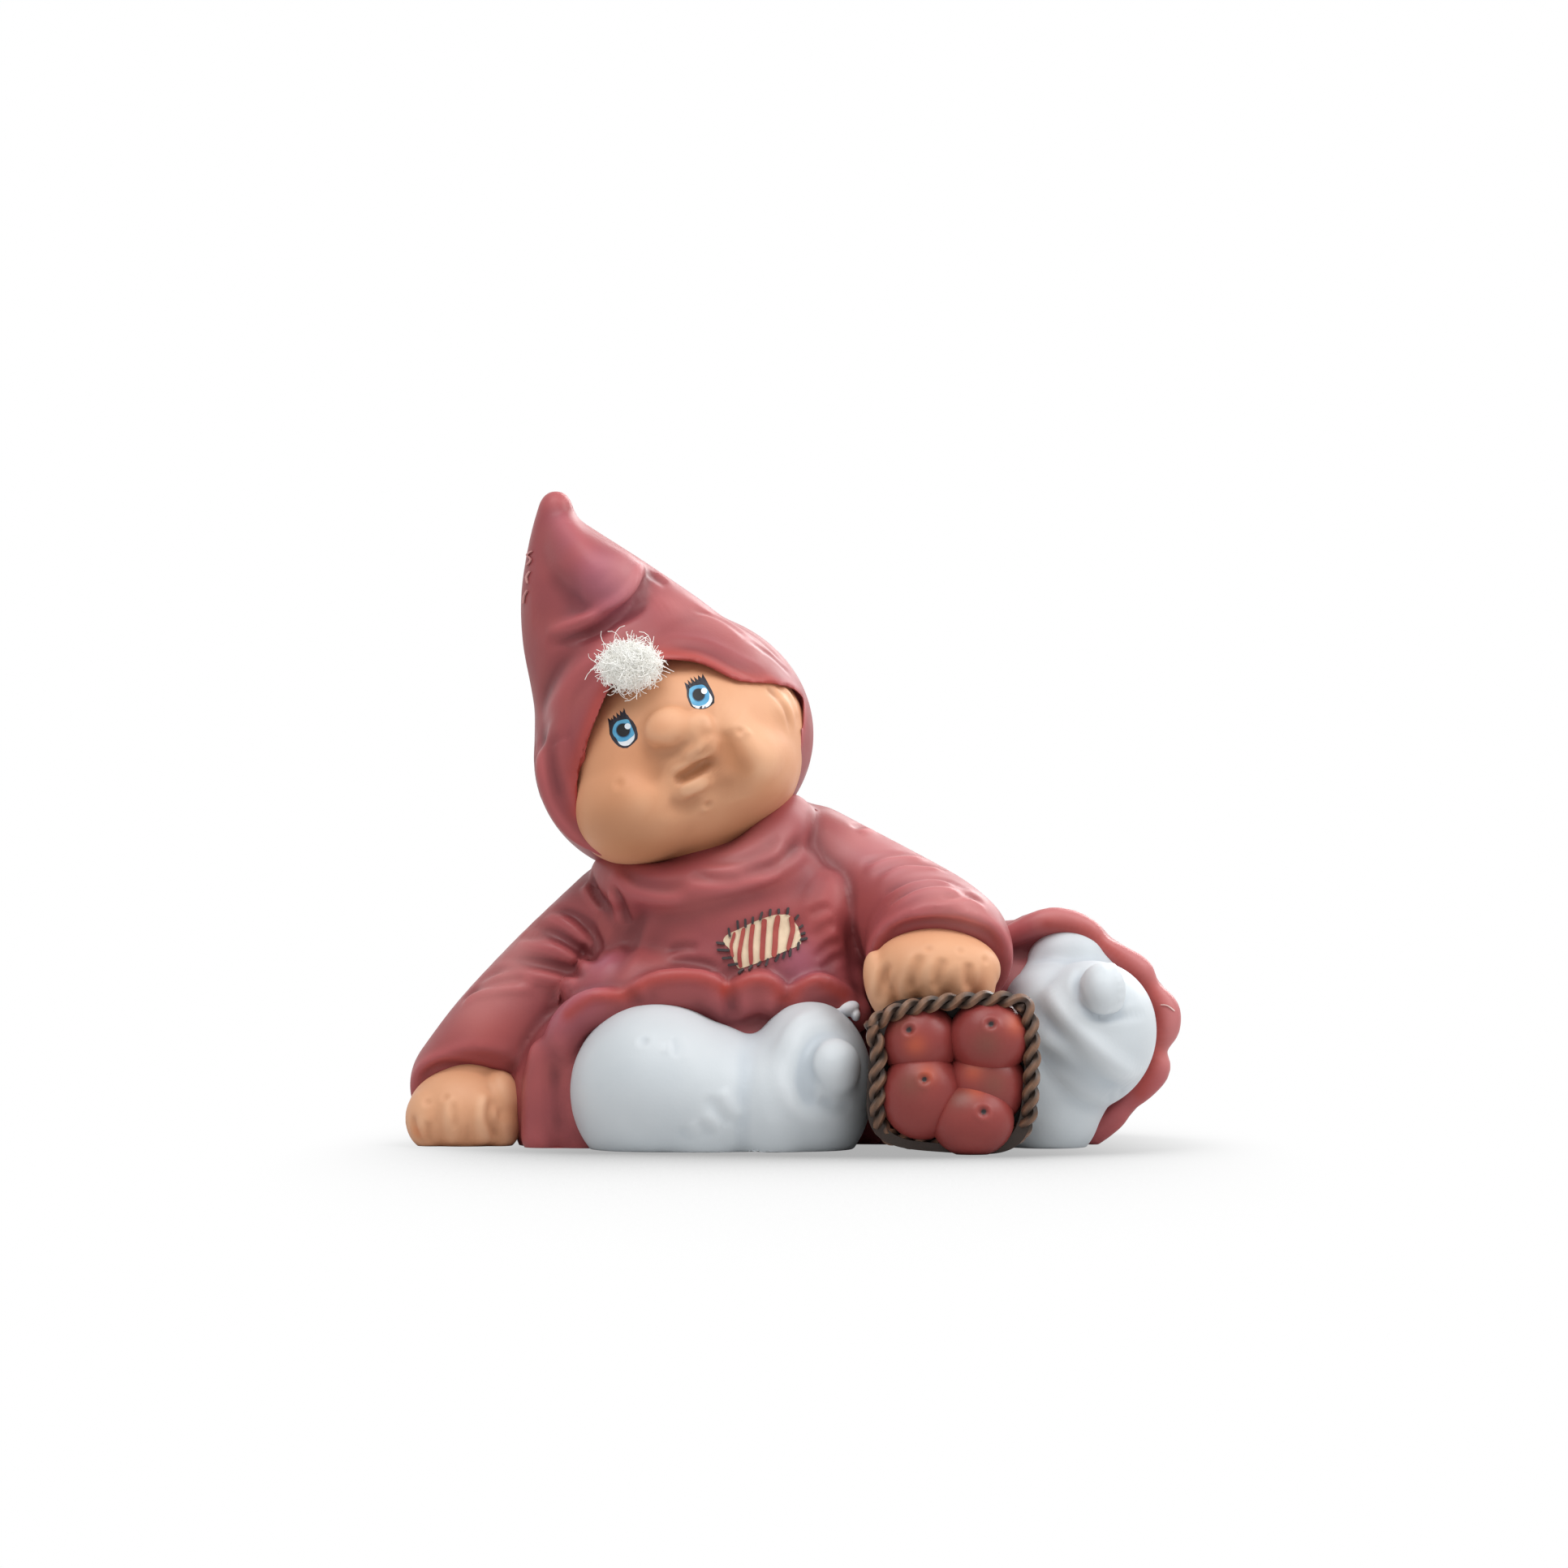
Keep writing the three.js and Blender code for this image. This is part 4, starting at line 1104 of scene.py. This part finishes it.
# Patch: a square of cream cloth with red stripes, painted on the front of the tunic and edged
# with charcoal stitches.
patch_outline = pairs_of(
    891.2, 1159.8, 892.4, 1155.6, 898.2, 1150.6, 913.2, 1143.6, 931.4, 1134.9, 953, 1127.8, 962.9, 1127,
    972, 1127.8, 978.7, 1136.5, 983.7, 1144, 987, 1160.6, 982.8, 1165.6, 967.9, 1171.8, 957.1, 1176.7,
    936.4, 1185.5, 914.8, 1192.9, 909.9, 1192.9, 904.9, 1185.5, 899.5, 1170.5, 893.3, 1163.9,
)
patch_stripes = [
    (3.7, [(905.3, 1148.6), (903.6, 1156.4), (901.1, 1164.7), (901.7, 1173), (903.2, 1179.7)]),
    (5.0, [(916.5, 1143.2), (914.8, 1153.1), (911.3, 1173), (911.3, 1183), (912.8, 1192.9)]),
    (5.4, [(927.7, 1138.6), (926.4, 1147.3), (924.8, 1166.4), (925.6, 1189.6)]),
    (6.2, [(941.4, 1132.4), (940.9, 1141.5), (939.3, 1169.7), (938.9, 1184.6)]),
    (6.6, [(958.4, 1127.8), (955.6, 1144.8), (954.6, 1164.7), (953, 1179.7)]),
    (5.8, [(973.7, 1129.1), (976.2, 1144.8), (974.9, 1153.1), (970.4, 1171.8)]),
]
patch_stitches = [
    [(897.8, 1143.2), (899.5, 1155.2)], [(908.6, 1134), (909.4, 1145.7)],
    [(918.1, 1132), (918.6, 1143.6)], [(927.7, 1129.5), (926.8, 1139)],
    [(938.9, 1123.7), (935.6, 1134.5)], [(948.8, 1120.4), (948, 1129.1)],
    [(958.8, 1120), (958.8, 1126.6)], [(970.4, 1118.7), (969.1, 1127.4)],
    [(983.6, 1127.4), (978.7, 1134)], [(989.5, 1140.3), (984.1, 1144.4)],
    [(992.4, 1150.2), (986.1, 1151.9)], [(994.8, 1156.9), (984.9, 1158.9)],
    [(983.6, 1161.4), (982.4, 1171.4)], [(973.7, 1168.9), (972.5, 1179.7)],
    [(966.7, 1173), (964.2, 1182.1)], [(960, 1175.5), (954.6, 1185.5)],
    [(946.3, 1180.9), (943, 1191.3)], [(937.2, 1185), (933.1, 1191.3)],
    [(926.8, 1189.2), (923.1, 1197.5)], [(916.9, 1194.6), (910.3, 1201.2)],
    [(909.9, 1187.5), (896.6, 1189.6)], [(902.4, 1180.1), (889.5, 1181.3)],
    [(899.5, 1171.8), (883.3, 1170.9)], [(893.3, 1163.5), (882.5, 1162.2)],
]
patch = joined("patch", [painted_shape(garment_surface, patch_outline, 0.12, rings=16)])
finished(patch, [], hand_paint("patch_paint", (234, 212, 182), (222, 198, 168), 0.5))
stripes = [brush_line(garment_surface, points, width, 0.16) for width, points in patch_stripes]
finished(
    joined("patch_stripes", stripes), [],
    hand_paint("stripe_paint", (168, 76, 68), (150, 62, 58), 0.5),
)
stitches = [brush_line(garment_surface, points, 3, 0.2) for points in patch_stitches]
finished(
    joined("patch_stitches", stitches), [],
    hand_paint("stitch_paint", (52, 44, 46), (70, 58, 58), 0.5),
)


# Basket: cast and painted as dark wicker, lying on its side with its mouth towards the front.
# Its woven wall narrows to the bottom, and a twisted rope is laid round the mouth.
basket_across, basket_tall, basket_depth = 27.8, 25.4, 20
basket_middle = (26.2, -31.4, 13)
basket_roll = 4
basket_bottom_share = 0.84
wall_thick, recess_depth = 2.0, 5.4
weave_rows, weave_stakes = 9, 28
weave_relief = 0.35
squareness = 4


def square_ring(angles):
    """Points on a rounded square, one unit from side to side."""
    ring = np.stack([np.cos(angles), np.sin(angles)], axis=-1)
    return ring / (np.abs(ring) ** squareness).sum(-1, keepdims=True) ** (1 / squareness) / 2


def in_basket(points):
    """Points in mm with the mouth's middle as zero, taken to the basket's place."""
    turn = radians(basket_roll)
    x, y, z = points.T
    return np.stack([
        x * np.cos(turn) + z * np.sin(turn),
        y,
        z * np.cos(turn) - x * np.sin(turn),
    ], axis=1) * mm + np.array(basket_middle) * mm


def wall_mesh(name, rings, around=224):
    """A closed wall through rings of a depth, a size share, a side to side and a height, and weave."""
    deselect()
    bpy.ops.mesh.primitive_grid_add(x_subdivisions=around, y_subdivisions=len(rings) - 1, size=mm)
    wall = bpy.context.object
    wall.name = name
    angles = np.linspace(0, 2 * np.pi, around + 1)
    spots = []
    for depth, across, tall, weave in rings:
        wave = np.sin(np.pi * depth / basket_depth * weave_rows)
        relief = weave * weave_relief * np.cos(weave_stakes * angles) * wave
        ring = square_ring(angles)
        x = ring[:, 0] * (across + 2 * relief)
        z = ring[:, 1] * (tall + 2 * relief)
        spots.append(np.stack([x, np.full_like(x, depth), z], axis=1))
    move_points(wall, in_basket(np.concatenate(spots)))
    merge_seam = (bpy.ops.mesh.remove_doubles, dict(threshold=0.01 * mm))
    return edited(wall, merge_seam, turn_faces_out)


wall_rings = [
    (recess_depth, 0, 0, 0),
    (recess_depth, 24, 22, 0),
    (0, basket_across - 2 * wall_thick, 22.6, 0),
    (0, basket_across - 0.6, basket_tall - 0.6, 0),
]
wall_steps = 64
for step in range(wall_steps + 1):
    share = step / wall_steps
    size_share = 1 + (basket_bottom_share - 1) * share
    wall_rings.append((
        share * basket_depth, basket_across * size_share, basket_tall * size_share,
        min(1, 4 * share, 4 - 4 * share),
    ))
wall_rings.append((basket_depth, 0, 0, 0))
basket = joined("basket", [wall_mesh("basket", wall_rings)])
stand_on_floor(basket)
shade_masks(basket)
# The wicker's third and fourth colours are painted shade for the hollows and a painted highlight for the
# ridges, over its own dark paint.
wicker_paint = airbrushed(
    "wicker_paint", (78, 58, 48), (62, 54, 42), (26, 22, 22), (168, 124, 96), {}, 0.42, (0.6, 0.03),
)
finished(basket, ["basket"], wicker_paint)


def cords(name, lines, radius, closed=False):
    """Round cords through lines of points in metres, with a radius in mm, as one mesh."""
    curve = bpy.data.curves.new(name, "CURVE")
    curve.dimensions = "3D"
    curve.bevel_depth = radius * mm
    curve.bevel_resolution = 1 if closed else 0
    curve.use_fill_caps = True
    for line in lines:
        spline = curve.splines.new("POLY")
        spline.points.add(len(line) - 1)
        spline.points.foreach_set("co", np.concatenate([line, np.ones((len(line), 1))], axis=1).ravel())
        spline.use_cyclic_u = closed
    cord = bpy.data.objects.new(name, curve)
    bpy.context.scene.collection.objects.link(cord)
    only(cord)
    bpy.ops.object.convert(target="MESH")
    return edited(bpy.context.object, merge_doubles)


rim_line = [
    (1073, 1258), (1106, 1242), (1159, 1232), (1214, 1228), (1252, 1231), (1264, 1248), (1268, 1290),
    (1267, 1335), (1263, 1376), (1244, 1398), (1200, 1404), (1130, 1402), (1092, 1394), (1081, 1370),
    (1080, 1330), (1081, 1290), (1075, 1272),
]
rope_radius, strand_radius, rope_turns, rope_steps = 0.7, 0.82, 15, 20
rim_sinks_below, rim_sink_share = 9, 0.4


def rope(name, pixels):
    """Two strands twisted about a closed line of pixels just in front of the basket's mouth."""
    line = smooth_line([*pixels, pixels[0]], rope_steps)[:-1]
    path = np.stack([
        (line[:, 0] - photo_side / 2) / pixels_per_mm * mm + camera_target.x,
        np.full(len(line), (basket_middle[1] - 0.9) * mm),
        (photo_side / 2 - line[:, 1]) / pixels_per_mm * mm + camera_target.z,
    ], axis=1)
    path[:, 2] -= (path[:, 1] - camera_target.y) * np.sin(camera_elevation)
    path[:, 1] += np.maximum(rim_sinks_below * mm - path[:, 2], 0) * rim_sink_share
    steps = np.linalg.norm(np.diff(path, axis=0, append=path[:1]), axis=1)
    ahead = np.roll(path, -1, axis=0) - np.roll(path, 1, axis=0)
    ahead /= np.linalg.norm(ahead, axis=1)[:, None]
    sense = np.where(np.abs(ahead[:, 0]) > np.abs(ahead[:, 2]), -1, 1)
    phase = 2 * np.pi * rope_turns * np.cumsum(steps * sense) / steps.sum()
    front = np.array([0, -1, 0])
    side = np.cross(ahead, front)
    strands = []
    for turn in (0, np.pi):
        angle = (phase + turn)[:, None]
        strands.append(path + rope_radius * mm * (np.cos(angle) * front + np.sin(angle) * side))
    cord = cords(name, strands, strand_radius, closed=True)
    # The strands are lighter on their outer ridges, partly the rope's own drybrushing and partly a painted
    # highlight, and darker in the grooves between them, which is painted shade.
    _, way = nearest_on(path, points_of(cord))
    height = np.clip((np.linalg.norm(way, axis=1) / mm - 1.05) / 0.42, 0, 1)
    set_mask(cord, "crest_highlight", height**3)
    set_mask(cord, "hollow_shade", 1.6 - 1.6 * height)
    return cord


basket_rim = joined("basket_rim", [rope("basket_rim", rim_line)])
stand_on_floor(basket_rim)
finished(basket_rim, ["basket_rim"], wicker_paint)


# Apples: five cast balls that fill the basket's mouth, red with orange and brown bloom. Four
# show the dimple of the stalk with a dark dot in it.
# The apples' third and fourth colours are painted shade for the hollows and a painted highlight for the
# ridges; the orange, the brown and the stalk's dot are their own paint.
apple_paint = airbrushed(
    "apple_paint", (140, 60, 56), (128, 52, 50), (92, 38, 36), (180, 92, 86),
    {"orange": (182, 84, 58), "brown": (122, 68, 58), "stalk": (46, 40, 42)}, 0.38,
)
apples = [
    ("apple_top_left", (20.9, -28.6, 18.6), (13.4, 12.4, 12.8), (1120, 1269), (1128, 1288), (1110, 1255)),
    ("apple_top_right", (32.4, -29.7, 19.3), (13.8, 12.6, 13), (1221, 1262), (1250, 1262), (1216, 1285)),
    ("apple_middle_left", (21.3, -30.1, 9.8), (13.8, 12, 15), (1139, 1330), (1142, 1322), (1122, 1335)),
    ("apple_middle_right", (31.8, -28.6, 11.4), (14, 12, 13.8), None, (1200, 1318), (1225, 1335)),
    ("apple_bottom_right", (29.6, -31.1, 5.7), (14, 11.8, 12.4), (1212, 1370), (1200, 1345), (1182, 1352)),
]
for name, place, size, stalk, orange, brown in apples:
    apple = pressed(name, [ball(place, size)], 0.3, 2)
    if stalk:
        work(apple, [("groove", 0.7, 0.6, [stalk])], soft=1)
    stand_on_floor(apple)
    shade_masks(apple)
    spray(apple, "orange", [(1.8, 0.8, [orange])])
    spray(apple, "brown", [(2.4, 0.8, [brown])])
    if stalk:
        spray(apple, "stalk", [(0.32, 3, [stalk])])
    finished(apple, [name], apple_paint)


# Tuft: a lock of white fleece, glued on where the hood meets the brow. Fine matted fibres curl
# over a soft core.
fibre_count, fibre_steps = 2400, 6
fibre_radius = 0.055
tuft_middle, tuft_size = np.array((-27.3, -13.6, 80.9)), np.array((8.5, 6, 6))
strokes_of_chance = np.random.default_rng(7)


def fibres():
    lines = []
    for _ in range(fibre_count):
        way = strokes_of_chance.normal(size=3)
        way /= np.linalg.norm(way)
        if way[1] > 0.3:
            way[1] *= -1
        spot = tuft_middle + way * tuft_size * 0.42
        heading = way * 0.8 + strokes_of_chance.normal(size=3) * 0.6
        heading /= np.linalg.norm(heading)
        curl = strokes_of_chance.normal(size=3) * 0.3
        step = strokes_of_chance.uniform(0.25, 0.6) * (1.6 if strokes_of_chance.random() < 0.1 else 1)
        line = [spot]
        for _ in range(fibre_steps):
            heading = heading + np.cross(curl, heading)
            away = (line[-1] - tuft_middle) / (tuft_size / 2)
            if np.linalg.norm(away) > 1.15:
                heading = heading - away * 0.15
            heading /= np.linalg.norm(heading)
            line.append(line[-1] + heading * step)
        lines.append(np.array(line) * mm)
    return cords("fibres", lines, fibre_radius)


core = pressed("core", [ball(tuft_middle, tuft_size * 0.76, 15)], 0.5, 2)
hair_tuft = joined("hair_tuft", [core, fibres()])
fleece = hand_paint("fleece", (250, 250, 247), (240, 239, 234), 0.8)
fleece_shader = fleece.node_tree.nodes["Principled BSDF"]
# A painted glow: the fleece gives off a little light of its own, standing in for the light that scatters
# through its fibres.
fleece_shader.inputs["Emission Color"].default_value = linear((250, 248, 244))
fleece_shader.inputs["Emission Strength"].default_value = 0.07  # light that the fibres pass on
finished(hair_tuft, ["hair_tuft"], fleece)


# Dab: a crumb of dried white glue between the tunic's hem and the basket.
glue_dab = pressed("glue_dab", [
    ball((9.1, -12.4, 23.4), (4, 3.2, 2.6), 20),
    ball((7.4, -12.4, 23), (2, 2.4, 1.6)),
    ball((10.4, -12.6, 22.4), (1.6, 2.4, 2.2)),
], 0.2, 2)
shade_masks(glue_dab)
dried_glue = hand_paint("dried_glue", (236, 236, 238), (220, 222, 228), 0.55)
finished(glue_dab, ["glue_dab"], dried_glue)


# Studio: a pale floor that shows white with a painted soft shadow of the doll, a white room all round,
# and three large soft lamps: high on the doll's left, above it in front, and behind it.
shadow_reach, shadow_open, shadow_strength = 0.4, 0.7, 0.42
bpy.ops.mesh.primitive_plane_add(size=4)
floor = bpy.context.object
floor.name = "floor"
floor_paint = bpy.data.materials.new("floor_paint")
floor_paint.use_nodes = True
floor.data.materials.append(floor_paint)
seen = add_node(floor_paint, "ShaderNodeLightPath")
glow = add_node(floor_paint, "ShaderNodeEmission")
# The floor's shadow is painted: its glow dims where the doll shuts off the room around it, found by
# ambient occlusion and not cast by the lamps.
openness = add_node(floor_paint, "ShaderNodeAmbientOcclusion")
openness.inputs["Distance"].default_value = shadow_reach
shadow = add_node(floor_paint, "ShaderNodeMapRange")
shadow.inputs["From Min"].default_value = shadow_open
shadow.inputs["To Min"].default_value = shadow_strength
wire(floor_paint, openness.outputs["AO"], shadow.inputs["Value"])
wire(floor_paint, shadow.outputs["Result"], glow.inputs["Strength"])
# the floor turns into plain white away from the doll
near_edge, far_edge = 0.12, 0.3
side_share, shadow_front = 3.3, 0.1
floor_place = add_node(floor_paint, "ShaderNodeTexCoord")
distance = add_node(floor_paint, "ShaderNodeVectorMath", operation="LENGTH")
narrowed = add_node(floor_paint, "ShaderNodeVectorMath", operation="MULTIPLY")
narrowed.inputs[1].default_value = (side_share, 1, 1)
placed = add_node(floor_paint, "ShaderNodeVectorMath", operation="ADD")
placed.inputs[1].default_value = (0, shadow_front, 0)
wire(floor_paint, floor_place.outputs["Object"], placed.inputs[0])
wire(floor_paint, placed.outputs["Vector"], narrowed.inputs[0])
wire(floor_paint, narrowed.outputs["Vector"], distance.inputs[0])
fade = add_node(floor_paint, "ShaderNodeMapRange", interpolation_type="SMOOTHSTEP")
fade.inputs["From Min"].default_value = near_edge
fade.inputs["From Max"].default_value = far_edge
wire(floor_paint, distance.outputs["Value"], fade.inputs["Value"])
bright = add_node(floor_paint, "ShaderNodeEmission")
faded = add_node(floor_paint, "ShaderNodeMixShader")
wire(floor_paint, fade.outputs["Result"], faded.inputs["Fac"])
wire(floor_paint, glow.outputs[0], faded.inputs[1])
wire(floor_paint, bright.outputs[0], faded.inputs[2])
plain = add_node(floor_paint, "ShaderNodeBsdfDiffuse")
plain.inputs["Color"].default_value = (0.68, 0.68, 0.68, 1)
by_eye = add_node(floor_paint, "ShaderNodeMixShader")
wire(floor_paint, seen.outputs["Is Camera Ray"], by_eye.inputs["Fac"])
wire(floor_paint, plain.outputs[0], by_eye.inputs[1])
wire(floor_paint, faded.outputs[0], by_eye.inputs[2])
wire(floor_paint, by_eye.outputs[0], floor_paint.node_tree.nodes["Material Output"].inputs["Surface"])

room_strength = 0.42  # the room lights the doll less than it shows
room = bpy.data.worlds.new("white_room")
bpy.context.scene.world = room
room.use_nodes = True
room_light = room.node_tree.nodes["Background"]
path = add_node(room, "ShaderNodeLightPath")
shown = add_node(room, "ShaderNodeMath", operation="MAXIMUM")
strength = add_node(room, "ShaderNodeMapRange")
strength.inputs["To Min"].default_value = room_strength
strength.inputs["To Max"].default_value = 1.0
wire(room, path.outputs["Is Camera Ray"], shown.inputs[0])
wire(room, path.outputs["Is Glossy Ray"], shown.inputs[1])
wire(room, shown.outputs[0], strength.inputs["Value"])
wire(room, strength.outputs[0], room_light.inputs["Strength"])
room_light.inputs["Color"].default_value = (1, 1, 1, 1)


doll_middle = Vector((0, 0, 0.05))
lamps = [
    ("key_lamp", (0.6, -0.2, 0.62), 0.5, 3.75),
    ("top_lamp", (-0.15, -0.35, 0.8), 0.6, 4.3),
    ("back_lamp", (0.4, 0.65, 0.5), 0.5, 4),
]
for name, place, size, power in lamps:
    lamp = bpy.data.objects.new(name, bpy.data.lights.new(name, "AREA"))
    bpy.context.scene.collection.objects.link(lamp)
    lamp.location = place
    lamp.rotation_euler = (doll_middle - Vector(place)).to_track_quat("-Z", "Y").to_euler()
    lamp.data.size = size
    lamp.data.energy = power
